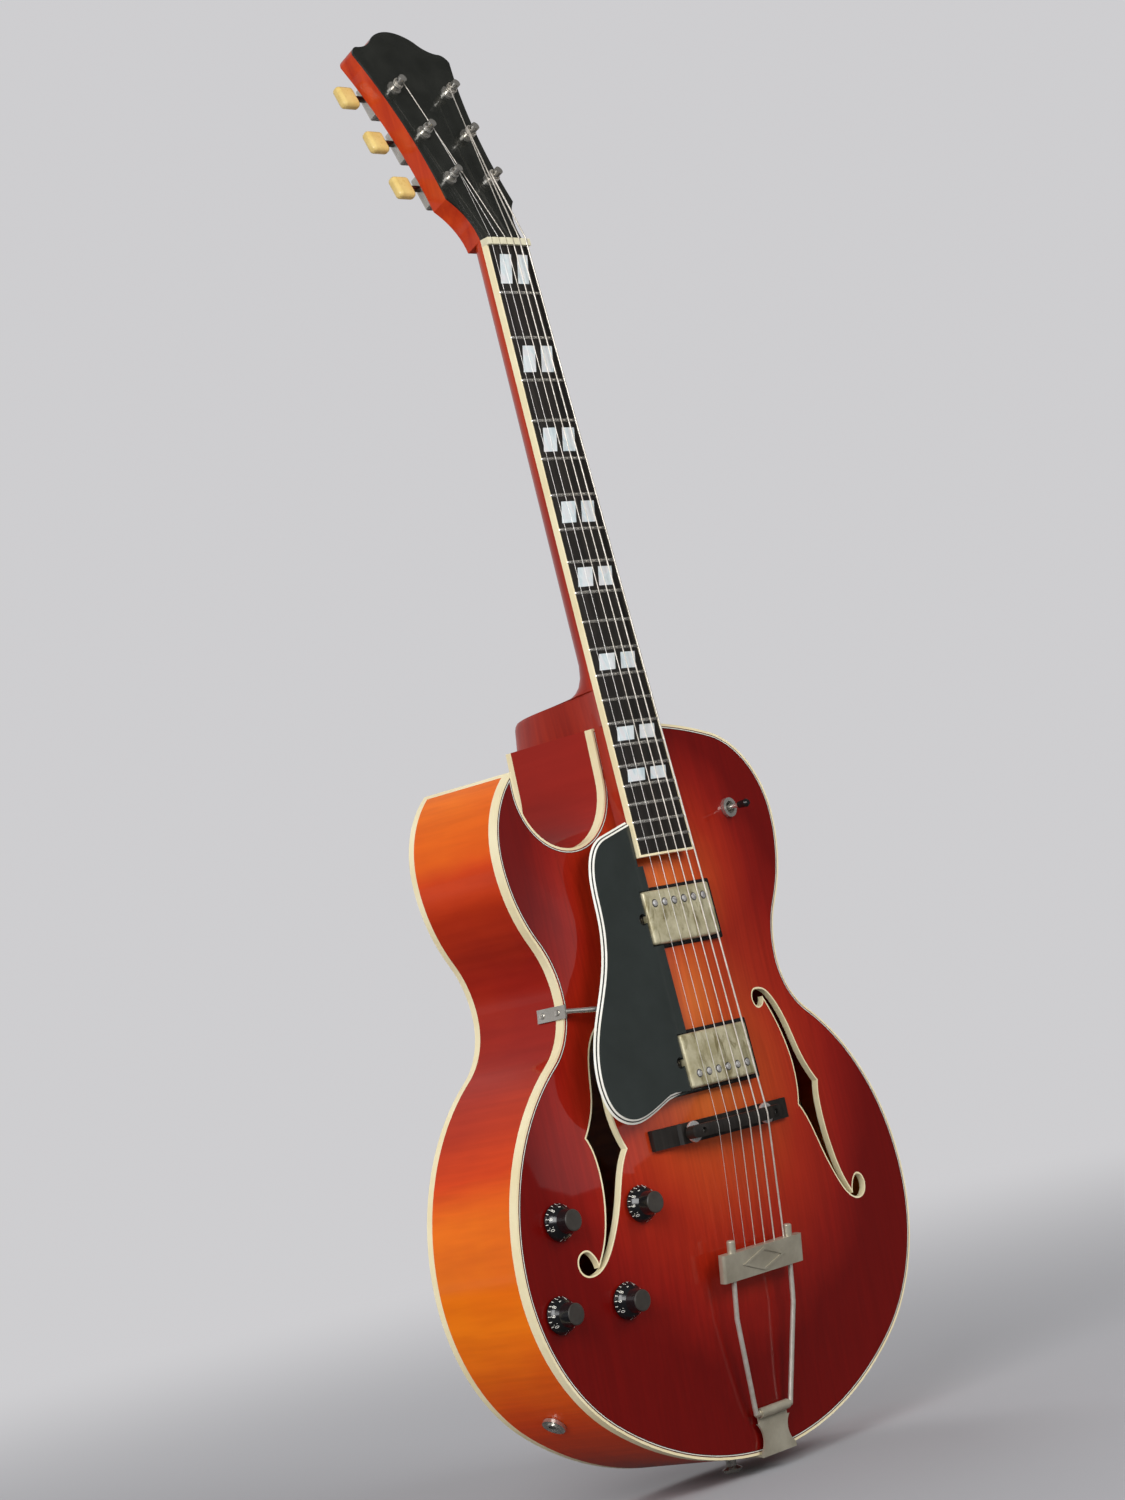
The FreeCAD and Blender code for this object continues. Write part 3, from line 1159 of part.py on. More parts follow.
def make_pickguard():
    place = neck_place()
    sheet_y = size("guard_drop")
    guard = Part.Face(guard_outline(sheet_y)).extrude(Vector(0, size("guard_thickness"), 0))
    guard.Placement = place
    gap = 2 * size("guard_clearance")
    across, along, deep = size("pickup_length") + gap, size("pickup_width") + gap, size("rim_depth")
    windows = []
    for name, station in pickup_stations():
        window = Part.makeBox(across, along, deep, Vector(-across / 2, -along / 2, -deep / 2))
        notch = Part.makeCylinder(size("guard_notch_radius"), deep,
                                  Vector(-size("pickup_screw_offset"), 0, -deep / 2))
        for opening in (window, notch):
            opening.Placement = pickup_place(station, size("ring_drop"))
            windows.append(opening)
    guard = guard.cut(windows)
    feature("pickguard", guard)
    z = waist_station() - size("bracket_drop")
    wide, thick, gap = size("bracket_width"), size("bracket_thickness"), size("seat_gap")
    front = -size("rim_depth") / 2 - 4
    back = front + size("bracket_length")
    strap = outline_block(-thick - gap, front, back).cut(outline_block(-gap, front, back))
    strap = strap.common(box(Vector(-size("lower_bout_half"), front, z - wide / 2), Vector(0, back, z + wide / 2)))
    back_face = place.multVec(Vector(-size("bracket_pad_offset"), sheet_y + size("guard_thickness"),
                                     -neck_station(z - 3)))
    elbow = Vector(-half_width(z) - gap - thick / 2, front + 2, z)
    arm = rod(elbow, back_face + Vector(0, 3, 0), size("bracket_rod_radius"))
    pad = rod(back_face + Vector(0, 3.4, 0), back_face + Vector(0, 0.3, 0), 4)
    feature("pickguard_bracket", fused([strap, arm, pad]))


def make_controls():
    pots = []
    for label in knob_names:
        knob = turned(label, [
            ("pot_shaft_radius + knob_play", "0"), ("knob_skirt_radius - 0.4", "0"), ("knob_skirt_radius", "0.6"),
            ("knob_skirt_radius", "1.6"), ("knob_skirt_radius - 1.5", "knob_skirt_height - 3"),
            ("knob_waist_radius", "knob_skirt_height"), ("knob_top_radius", "knob_height - 0.6"),
            ("knob_top_radius - 0.6", "knob_height"), ("0", "knob_height"), ("0", "knob_bore_height"),
            ("pot_shaft_radius + knob_play", "knob_bore_height")])
        knob.Placement = knob_place(label, size("knob_lift"))
        keep(label, knob)
        print(label, "base", knob.Placement.Base, "axis", knob.Placement.Rotation.multVec(Vector(0, 0, 1)))
        plate = size("plate_thickness")
        low = -plate - size("pot_drop")
        shaft = Part.makeCylinder(size("pot_shaft_radius"), size("pot_shaft_reach") - low, Vector(0, 0, low))
        bush = Part.makeCylinder(size("pot_bushing_radius"), -low, Vector(0, 0, low))
        case = Part.makeCylinder(size("pot_radius"), size("pot_height"), Vector(0, 0, low - size("pot_height")))
        pot = fused([shaft, bush, case])
        pot.Placement = knob_place(label, 0)
        pots.append(pot)
    feature("pots", Part.makeCompound(pots))


def make_toggle():
    x, z = toggle_spot()
    base = Vector(x, top_y(x, z), z)
    out = Vector(0, -1, 0)
    rise, plate = size("toggle_nut_height"), size("plate_thickness")
    nut = rod(base - out * 0, base + out * rise, size("toggle_nut_radius"))
    nut = nut.cut(carved_under())
    low = base - out * (plate + 2)
    bush = rod(low, base + out * rise, size("toggle_bushing_radius"))
    wide, long, deep = size("toggle_box_width") / 2, size("toggle_box_length") / 2, size("toggle_box_depth")
    case = box(Vector(x - wide, low.y, z - long), Vector(x + wide, low.y + deep, z + long))
    mouth = rod(low - out * (deep - 4), base + out * (rise + 1), size("toggle_mouth_radius"))
    pivot = base - out * plate
    reach = Vector(size("lever_pin_half"), 0, 0)
    past = reach * 1.1
    pin_hole = rod(pivot - past, pivot + past, size("lever_pin_radius") + size("lever_pin_play"))
    feature("toggle_switch", fused([nut, bush, case]).cut([mouth, pin_hole]))
    lever = turned("toggle_lever_blank", [
        ("0", "0"), ("lever_radius", "0"), ("toggle_mouth_radius - lever_play", "lever_ball"),
        ("lever_radius", "lever_ball + lever_ball"), ("lever_radius", "lever_reach"),
        ("lever_tip_radius - 0.6", "lever_reach"), ("lever_tip_radius", "lever_reach + lever_tip_length - 2"),
        ("lever_tip_radius - 1.4", "lever_reach + lever_tip_length"), ("0", "lever_reach + lever_tip_length")])
    lever.Placement = facing(pivot - out * size("lever_ball"), out)
    pin = rod(pivot - reach, pivot + reach, size("lever_pin_radius"))
    doc.recompute()
    feature("toggle_lever", fused([lever.Shape, pin]))
    print("toggle pivot", pivot)


def make_jack_and_button():
    place = jack_place()
    length, bore = size("jack_length"), size("jack_bore_radius")
    tube = Part.makeCylinder(size("jack_tube_radius"), length, Vector(0, 0, -length + size("jack_nut_height") + 1))
    nut = Part.makeCylinder(size("jack_nut_radius"), size("jack_nut_height"), Vector(0, 0, 0.25))
    hole = Part.makeCylinder(bore, 3 * length, Vector(0, 0, -2 * length))
    feature("output_jack", fused([tube, nut]).cut(hole), place)
    print("jack", place.Base, place.Rotation.multVec(Vector(0, 0, 1)))
    button = turned("strap_button", [
        ("0", "0"), ("strap_shank_radius", "0"), ("strap_shank_radius", "strap_shank_length"),
        ("strap_foot_radius", "strap_shank_length"), ("strap_neck_radius", "strap_shank_length + 4"),
        ("strap_neck_radius", "strap_shank_length + strap_height - 4"),
        ("strap_head_radius", "strap_shank_length + strap_height - 2"),
        ("strap_head_radius - 1", "strap_shank_length + strap_height"), ("0", "strap_shank_length + strap_height")])
    button.Placement = facing(Vector(0, 0, size("strap_shank_length")), Vector(0, 0, -1))
    keep("strap_button", button)


def write_parts():
    doc.recompute()
    for item in doc.Objects:
        if "Invalid" in item.State or "Error" in item.State:
            raise RuntimeError("failed object " + item.Label)
    os.makedirs("parts", exist_ok=True)
    triangles = 0
    for label, item in nodes.items():
        shape = item.Shape
        if shape.isNull() or not shape.isValid():
            raise RuntimeError("bad shape " + label)
        if not shape.Solids:
            raise RuntimeError("no solid in " + label)
        if shape.ShapeType == "Compound":
            shape = Part.makeCompound(shape.Solids)
        shape.exportStep("parts/%s.step" % label)
        reach = shape.BoundBox.DiagonalLength
        facets = len(shape.tessellate(min(max(0.0002 * reach, 0.01), 0.5))[1])
        triangles += facets
        print("%-22s solids %2d volume %10.1f facets %5d" % (label, len(shape.Solids), shape.Volume, facets))
    print("nodes", len(nodes), "facets", triangles)


fill_sheet()
make_body()
make_neck()
make_fingerboard()
make_tuners()
make_bridge()
make_tailpiece()
make_pickups()
make_pickguard()
make_controls()
make_toggle()
make_jack_and_button()
make_strings()
write_parts()
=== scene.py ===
import json
import math

import bpy
import numpy as np
from mathutils import Matrix, Vector


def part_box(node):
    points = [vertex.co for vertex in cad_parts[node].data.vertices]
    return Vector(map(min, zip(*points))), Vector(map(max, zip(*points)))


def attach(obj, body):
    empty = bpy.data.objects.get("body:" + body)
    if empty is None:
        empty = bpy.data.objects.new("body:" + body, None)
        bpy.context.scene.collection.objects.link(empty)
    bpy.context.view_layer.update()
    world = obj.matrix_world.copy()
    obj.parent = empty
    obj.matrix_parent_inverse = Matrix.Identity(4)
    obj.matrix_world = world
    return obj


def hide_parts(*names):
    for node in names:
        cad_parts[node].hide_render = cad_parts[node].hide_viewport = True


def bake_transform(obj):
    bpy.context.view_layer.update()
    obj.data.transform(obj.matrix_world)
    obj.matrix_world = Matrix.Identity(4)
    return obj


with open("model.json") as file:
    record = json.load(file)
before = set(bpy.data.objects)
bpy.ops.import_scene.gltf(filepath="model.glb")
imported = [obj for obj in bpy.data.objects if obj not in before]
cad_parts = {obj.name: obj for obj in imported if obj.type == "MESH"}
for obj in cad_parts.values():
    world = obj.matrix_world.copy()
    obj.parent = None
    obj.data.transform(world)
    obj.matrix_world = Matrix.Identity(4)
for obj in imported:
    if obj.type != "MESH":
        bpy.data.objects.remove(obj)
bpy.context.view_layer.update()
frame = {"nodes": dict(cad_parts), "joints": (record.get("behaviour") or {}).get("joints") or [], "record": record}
bodies = frame["record"]["behaviour"]["bodies"]
bodyOfNode = {node: body for body, nodes in bodies.items() for node in nodes}
jointOfBody = {joint["child"]: joint for joint in frame["joints"]}
print("frame loaded:", len(frame["nodes"]), "nodes")


# mesh helpers

mergeStep = 2e-6  # metres, within which corners are one


def gridFaces(rows, columns, wrapRows=False, wrapColumns=False):
    # quads between neighbouring points of a rows x columns grid, either way closed on itself
    row, column = np.meshgrid(np.arange(rows if wrapRows else rows - 1),
                              np.arange(columns if wrapColumns else columns - 1), indexing="ij")
    nextRow, nextColumn = (row + 1) % rows, (column + 1) % columns
    corners = [row * columns + column, row * columns + nextColumn,
               nextRow * columns + nextColumn, nextRow * columns + column]
    return np.stack(corners, -1).reshape(-1, 4)


def repeatFaces(faces, count):
    # the same grid of faces for each of count equal blocks of points
    starts = np.arange(count)[:, None, None] * (faces.max() + 1)
    return (faces[None] + starts).reshape(-1, faces.shape[-1])


def unit(vectors):
    return vectors / np.linalg.norm(vectors, axis=-1, keepdims=True)


def newPiece(name, points, faces, material, body, crease=40):
    mesh = bpy.data.meshes.new(name)
    mesh.from_pydata(np.asarray(points, float).reshape(-1, 3).tolist(), [], [list(face) for face in faces])
    mesh.materials.append(material)
    mesh.shade_smooth()
    mesh.set_sharp_from_angle(angle=math.radians(crease))
    thing = bpy.data.objects.new(name, mesh)
    bpy.context.scene.collection.objects.link(thing)
    if body:  # a piece given no body is left unattached
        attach(thing, body)
    return thing


def mergedNodes(nodeNames):
    # the nodes' loose triangles as one array of shared corners and one of triangles
    points, triangles, start = [], [], 0
    for nodeName in nodeNames:
        mesh = frame["nodes"][nodeName].data
        corner = np.empty(len(mesh.vertices) * 3, np.float32)
        index = np.empty(len(mesh.loops), np.int32)
        mesh.vertices.foreach_get("co", corner)
        mesh.loops.foreach_get("vertex_index", index)
        points.append(corner.reshape(-1, 3))
        triangles.append(index.reshape(-1, 3) + start)
        start += len(mesh.vertices)
    points, triangles = np.concatenate(points), np.concatenate(triangles)
    _, first, shared = np.unique(np.round(points / mergeStep).astype(np.int64), axis=0,
                                 return_index=True, return_inverse=True)
    triangles = shared.reshape(-1)[triangles]
    whole = (triangles != np.roll(triangles, 1, axis=1)).all(1)
    return points[first].astype(float), triangles[whole]


def smoothCopy(name, nodeNames, material, crease):
    points, triangles = mergedNodes(nodeNames)
    thing = newPiece(name, points, triangles, material, bodyOfNode[nodeNames[0]], crease)
    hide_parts(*nodeNames)
    return thing


def secondFinish(thing, material, chosen):
    # gives the faces whose middles are chosen another material
    mesh = thing.data
    mesh.materials.append(material)
    middles = np.empty(len(mesh.polygons) * 3)
    mesh.polygons.foreach_get("center", middles)
    mesh.polygons.foreach_set("material_index", chosen(middles.reshape(-1, 3)).astype(np.int32))


# places on the guitar in metres; the settings of most pieces are in millimetres

perMetre = 1000
guitarFrames = {"nut": (0, -0.0376, 0.8551964), "neckPitch": -3.27,
                "headShift": (0, 0.0055, 0.005), "headTilt": -17.1, "pickupTurn": 86.73,
                "neckPickup": (0, -0.0637735, 0.370795), "bridgePickup": (0, -0.0694801, 0.270914),
                "neckRing": (0, -0.0580828, 0.370469), "bridgeRing": (0, -0.0637894, 0.270589)}


def turnAboutX(points, degrees):
    # y' = y cos a - z sin a, z' = y sin a + z cos a
    cos, sin = math.cos(math.radians(degrees)), math.sin(math.radians(degrees))
    x, y, z = np.moveaxis(np.asarray(points, float), -1, 0)
    return np.stack([x, y * cos - z * sin, y * sin + z * cos], -1)


def onNeck(points):
    return turnAboutX(points, guitarFrames["neckPitch"]) + guitarFrames["nut"]


def onHead(points):
    return onNeck(turnAboutX(points, guitarFrames["headTilt"]) + guitarFrames["headShift"])


def onPickup(which, points):
    return turnAboutX(points, guitarFrames["pickupTurn"]) + guitarFrames[which]


def alongAxis(points, base, axis, turn):
    # local z goes along the axis, and local x and y are square to it
    up = Vector(axis).normalized()
    side = up.orthogonal().normalized()
    side = (Matrix.Rotation(turn, 3, up) @ side).normalized()
    square = np.array([side, up.cross(side), up])
    return np.asarray(points, float) @ square + np.asarray(base, float)


# node helpers; a material here may also be the world, as both have a node tree

def shaderOf(material):
    return material.node_tree.nodes["Principled BSDF"]


def setInputs(node, values):
    for key, value in values.items():
        node.inputs[key].default_value = value


def newMaterial(name, color, roughness, metallic=0.0, coat=0.0, coatRoughness=0.04, specular=0.5):
    material = bpy.data.materials.new(name)
    material.use_nodes = True
    setInputs(shaderOf(material), {"Base Color": (*color, 1), "Roughness": roughness, "Metallic": metallic,
                                   "Coat Weight": coat, "Coat Roughness": coatRoughness,
                                   "Specular IOR Level": specular})
    return material


def addNode(material, kind, **values):
    node = material.node_tree.nodes.new(kind)
    for key, value in values.items():
        setattr(node, key, value)
    return node


def join(material, source, target):
    material.node_tree.links.new(source, target)


def mapped(material, vector, scale, turn=(0, 0, 0)):
    mapping = addNode(material, "ShaderNodeMapping")
    setInputs(mapping, {"Scale": scale, "Rotation": turn})
    join(material, vector, mapping.inputs["Vector"])
    return mapping.outputs["Vector"]


def objectCoords(material, scale=(1, 1, 1)):
    return mapped(material, addNode(material, "ShaderNodeTexCoord").outputs["Object"], scale)


def axesOf(material, kind="Object"):
    split = addNode(material, "ShaderNodeSeparateXYZ")
    join(material, addNode(material, "ShaderNodeTexCoord").outputs[kind], split.inputs["Vector"])
    return split.outputs["X"], split.outputs["Y"], split.outputs["Z"]


def noise(material, where, scale=1.0, detail=3.0, roughness=0.55, distortion=0.0):
    texture = addNode(material, "ShaderNodeTexNoise")
    setInputs(texture, {"Scale": scale, "Detail": detail, "Roughness": roughness, "Distortion": distortion})
    join(material, where, texture.inputs["Vector"])
    return texture.outputs["Fac"]


def ramp(material, factor, stops):
    node = addNode(material, "ShaderNodeValToRGB")
    steps = node.color_ramp.elements
    while len(steps) < len(stops):
        steps.new(0.5)
    for step, (place, color) in zip(steps, stops):
        step.position = place
        step.color = (*color, 1)
    join(material, factor, node.inputs["Fac"])
    return node.outputs["Color"]


def maths(material, operation, first, second=None, clamp=False):
    node = addNode(material, "ShaderNodeMath", operation=operation, use_clamp=clamp)
    for socket, value in zip(node.inputs, (first, second)):
        if value is None:
            continue
        if isinstance(value, (int, float)):
            socket.default_value = value
        else:
            join(material, value, socket)
    return node.outputs["Value"]


def between(material, value, low, high):
    # a soft step from 0 at low to 1 at high, where low may be the larger
    node = addNode(material, "ShaderNodeMapRange", interpolation_type="SMOOTHSTEP")
    setInputs(node, {"From Min": low, "From Max": high})
    join(material, value, node.inputs["Value"])
    return node.outputs["Result"]


def mixColor(material, factor, first, second, blend="MIX"):
    node = addNode(material, "ShaderNodeMix", data_type="RGBA", blend_type=blend)
    # sockets 6 and 7 are the two colours, and output 2 their mix
    sockets = node.inputs["Factor"], node.inputs[6], node.inputs[7]
    for socket, value in zip(sockets, (factor, first, second)):
        if isinstance(value, (int, float)):
            socket.default_value = value
        elif isinstance(value, tuple):
            socket.default_value = (*value, 1)
        else:
            join(material, value, socket)
    return node.outputs[2]


def paint(material, color):
    join(material, color, shaderOf(material).inputs["Base Color"])


def addBump(material, height, strength, distance):
    node = addNode(material, "ShaderNodeBump")
    setInputs(node, {"Strength": strength, "Distance": distance})
    join(material, height, node.inputs["Height"])
    join(material, node.outputs["Normal"], shaderOf(material).inputs["Normal"])


def varyRoughness(material, factor, low, high):
    node = addNode(material, "ShaderNodeMapRange")
    setInputs(node, {"To Min": low, "To Max": high})
    join(material, factor, node.inputs["Value"])
    join(material, node.outputs["Result"], shaderOf(material).inputs["Roughness"])


def cloudy(material, scale, share):
    # noise about zero, share wide
    centred = maths(material, "SUBTRACT", noise(material, objectCoords(material), scale, detail=4), 0.5)
    return maths(material, "MULTIPLY", centred, share)


def woodGrain(material, stretch):
    return noise(material, objectCoords(material, stretch), detail=4, roughness=0.6, distortion=0.3)


def lengthOf(material, first, second):
    # sqrt(first^2 + second^2)
    squares = [maths(material, "MULTIPLY", value, value) for value in (first, second)]
    return maths(material, "SQRT", maths(material, "ADD", *squares))


def ovalDistance(material, x, z, centre, reach):
    # sqrt((x / reachX)^2 + ((z - centre) / reachZ)^2), which is 1 on the oval's rim
    across = maths(material, "DIVIDE", x, reach[0])
    along = maths(material, "DIVIDE", maths(material, "SUBTRACT", z, centre), reach[1])
    return lengthOf(material, across, along)


# finishes

lacquer = {"specular": 0.12, "rippleStrength": 0.035, "rippleDepth": 0.0006}


def lacquered(settings):
    return newMaterial(settings["name"], settings["base"], settings["roughness"], coat=settings["coat"],
                       coatRoughness=settings["coatRoughness"], specular=lacquer["specular"])


def ripple(material, scale):
    # the slight waves of sprayed lacquer
    waves = noise(material, objectCoords(material), scale, detail=2)
    addBump(material, waves, lacquer["rippleStrength"], lacquer["rippleDepth"])


burst = {"name": "burst_top", "base": (0.3, 0.03, 0.01), "roughness": 0.45, "coat": 0.8,
         "coatRoughness": 0.03,
         "lower": (0.258, (0.185, 0.195)), "upper": (0.39, (0.125, 0.125)), "waist": (0.31, (0.108, 0.17)),
         "tones": [(0.0, (0.66, 0.150, 0.026)), (0.28, (0.50, 0.060, 0.010)), (0.55, (0.37, 0.020, 0.005)),
                   (0.80, (0.250, 0.007, 0.003)), (0.99, (0.145, 0.002, 0.001))],
         "cloudScale": 11, "cloudShare": 0.24, "grain": (330, 330, 5), "grainShare": 0.5,
         "streaks": [(0.34, (0.66, 0.60, 0.56)), (0.66, (1, 1, 1))], "ripple": 26}


def burstDistance(material, x, z):
    # 0 in the middle of a plate and 1 at its rim: the nearest of three ovals
    ovals = [ovalDistance(material, x, z, *burst[key]) for key in ("lower", "upper", "waist")]
    return maths(material, "MINIMUM", maths(material, "MINIMUM", ovals[0], ovals[1]), ovals[2])


def burstTop():
    # red lacquer that fades from an amber middle to a deep red rim, over straight grain
    material = lacquered(burst)
    x, _, z = axesOf(material)
    uneven = maths(material, "ADD", burstDistance(material, x, z),
                   cloudy(material, burst["cloudScale"], burst["cloudShare"]))
    grain = noise(material, objectCoords(material, burst["grain"]), detail=2, roughness=0.6, distortion=0.2)
    paint(material, mixColor(material, burst["grainShare"], ramp(material, uneven, burst["tones"]),
                             ramp(material, grain, burst["streaks"]), "MULTIPLY"))
    ripple(material, burst["ripple"])
    return material


sides = {"name": "maple_sides", "base": (0.86, 0.195, 0.002), "roughness": 0.42, "coat": 0.4,
         "coatRoughness": 0.03,
         "redAtHeight": [(0.0, 0.75), (0.06, 0.42), (0.13, 0.03), (0.20, 0.14), (0.255, 0.72), (0.30, 0.97),
                         (0.35, 0.97), (0.395, 0.75), (0.435, 0.25), (0.50, 0.10)],
         "tones": [(0.0, (0.86, 0.195, 0.002)), (0.42, (0.66, 0.055, 0.002)), (0.95, (0.31, 0.012, 0.005))],
         "cutawayX": 0.072, "cutawayHalf": 0.0445, "cutawayFrom": 0.40, "cloudScale": 8, "cloudShare": 0.42,
         "flame": (34, 6, 70), "figure": [(0.32, (0.78, 0.66, 0.55)), (0.68, (1, 1, 1))],
         "fibre": (500, 14, 14), "fine": [(0.36, (0.84, 0.76, 0.70)), (0.62, (1, 1, 1))],
         "figureShare": 0.5, "ripple": 24}


def mapleSides():
    # amber lacquer on the bouts, red in the waist and the cutaway, over a faint flame across the grain
    material = lacquered(sides)
    x, _, z = axesOf(material)
    height = ramp(material, z, [(place, (value,) * 3) for place, value in sides["redAtHeight"]])
    across = maths(material, "ABSOLUTE", maths(material, "ADD", x, sides["cutawayX"]))
    cutaway = maths(material, "MULTIPLY", maths(material, "LESS_THAN", across, sides["cutawayHalf"]),
                    maths(material, "GREATER_THAN", z, sides["cutawayFrom"]))
    red = maths(material, "ADD", maths(material, "MAXIMUM", height, cutaway),
                cloudy(material, sides["cloudScale"], sides["cloudShare"]), clamp=True)
    flame = noise(material, objectCoords(material, sides["flame"]), roughness=0.6, distortion=0.4)
    fibre = noise(material, objectCoords(material, sides["fibre"]), detail=2)
    figured = mixColor(material, sides["figureShare"], ramp(material, red, sides["tones"]),
                       ramp(material, flame, sides["figure"]), "MULTIPLY")
    paint(material, mixColor(material, sides["figureShare"], figured,
                             ramp(material, fibre, sides["fine"]), "MULTIPLY"))
    ripple(material, sides["ripple"])
    return material


back = {"name": "maple_back", "base": (0.5, 0.1, 0.01), "roughness": 0.42, "coat": 0.6,
        "coatRoughness": 0.03,
        "tones": [(0.0, (0.62, 0.15, 0.016)), (0.45, (0.44, 0.07, 0.008)), (0.95, (0.16, 0.007, 0.003))],
        "flame": (9, 1, 130), "flameTurn": (0, 0.30, 0),
        "figure": [(0.3, (0.55, 0.46, 0.4)), (0.7, (1, 1, 1))], "figureShare": 0.6, "ripple": 26}


def mapleBack():
    # the back's bookmatched maple: flame rising from the centre joint, amber middle and red rim
    material = lacquered(back)
    x, _, z = axesOf(material)
    mirrored = addNode(material, "ShaderNodeCombineXYZ")
    join(material, maths(material, "ABSOLUTE", x), mirrored.inputs["X"])
    join(material, z, mirrored.inputs["Z"])
    flame = noise(material, mapped(material, mirrored.outputs["Vector"], back["flame"], back["flameTurn"]),
                  distortion=0.5)
    color = ramp(material, burstDistance(material, x, z), back["tones"])
    paint(material, mixColor(material, back["figureShare"], color,
                             ramp(material, flame, back["figure"]), "MULTIPLY"))
    ripple(material, back["ripple"])
    return material


neckWood = {"name": "cherry_neck", "base": (0.3, 0.03, 0.01), "roughness": 0.4, "coat": 0.6,
            "coatRoughness": 0.04, "grain": (110, 110, 5), "bump": (0.03, 0.0002),
            "deep": [(0.3, (0.20, 0.010, 0.005)), (0.7, (0.36, 0.024, 0.008))],
            "bright": [(0.3, (0.36, 0.022, 0.004)), (0.7, (0.54, 0.052, 0.007))],
            "brightFrom": 0.56, "brightTo": 0.93}


def cherryNeck():
    # cherry lacquer on mahogany, brighter towards the headstock
    material = lacquered(neckWood)
    _, _, z = axesOf(material)
    streak = woodGrain(material, neckWood["grain"])
    rise = between(material, z, neckWood["brightFrom"], neckWood["brightTo"])
    paint(material, mixColor(material, rise, ramp(material, streak, neckWood["deep"]),
                             ramp(material, streak, neckWood["bright"])))
    addBump(material, streak, *neckWood["bump"])
    return material


wood = {"specular": 0.35, "stops": (0.3, 0.7), "bump": (0.05, 0.0002)}


def plainWood(name, dark, light, grain, roughness):
    material = newMaterial(name, light, roughness, specular=wood["specular"])
    streak = woodGrain(material, grain)
    paint(material, ramp(material, streak, list(zip(wood["stops"], (dark, light)))))
    addBump(material, streak, *wood["bump"])
    return material


tarnish = {"clouds": (0.34, 0.62), "spots": [(0.50, (0, 0, 0)), (0.66, (1, 1, 1))],
           "spotStretch": (1, 1, 0.35), "spotScale": 1.6, "dullScale": 2.5, "dull": (0.7, 1.4),
           "grainScale": 20, "bump": (0.02, 0.0001)}


def wornMetal(name, tone, shadow, roughness, patches, stain=None, metallic=1.0):
    # plated metal with a cloudy tarnish, and stains where the plating has aged
    material = newMaterial(name, tone, roughness, metallic=metallic)
    cloud = noise(material, objectCoords(material), patches, detail=5, roughness=0.62)
    color = ramp(material, cloud, list(zip(tarnish["clouds"], (shadow, tone))))
    if stain:
        stretched = objectCoords(material, tarnish["spotStretch"])
        spots = noise(material, stretched, patches * tarnish["spotScale"],
                      detail=6, roughness=0.7, distortion=0.6)
        color = mixColor(material, ramp(material, spots, tarnish["spots"]), color, stain)
    paint(material, color)
    dull = noise(material, objectCoords(material), patches * tarnish["dullScale"], detail=4)
    varyRoughness(material, dull, *(roughness * share for share in tarnish["dull"]))
    grain = noise(material, objectCoords(material), patches * tarnish["grainScale"], detail=2)
    addBump(material, grain, *tarnish["bump"])
    return material


moulding = {"clouds": (0.32, 0.66), "dullScale": 4, "dull": (0.8, 1.25)}


def mouldedPlastic(name, tone, shade, roughness, coat, patches, specular=0.5):
    material = newMaterial(name, tone, roughness, coat=coat, specular=specular)
    cloud = noise(material, objectCoords(material), patches, detail=4)
    paint(material, ramp(material, cloud, list(zip(moulding["clouds"], (shade, tone)))))
    dull = noise(material, objectCoords(material), patches * moulding["dullScale"])
    varyRoughness(material, dull, *(roughness * share for share in moulding["dull"]))
    return material


shell = {"base": (0.8, 0.82, 0.82), "roughness": 0.2, "coat": 0.4, "bands": (90, 90, 45),
         "tones": [(0.30, (0.48, 0.58, 0.62)), (0.47, (0.66, 0.72, 0.73)), (0.60, (0.70, 0.69, 0.70)),
                   (0.74, (0.54, 0.63, 0.61))]}


def pearlShell():
    # white shell with pale blue and pink bands
    material = newMaterial("pearl", shell["base"], shell["roughness"], coat=shell["coat"])
    bands = noise(material, objectCoords(material, shell["bands"]), detail=4, roughness=0.6, distortion=1.6)
    paint(material, ramp(material, bands, shell["tones"]))
    return material


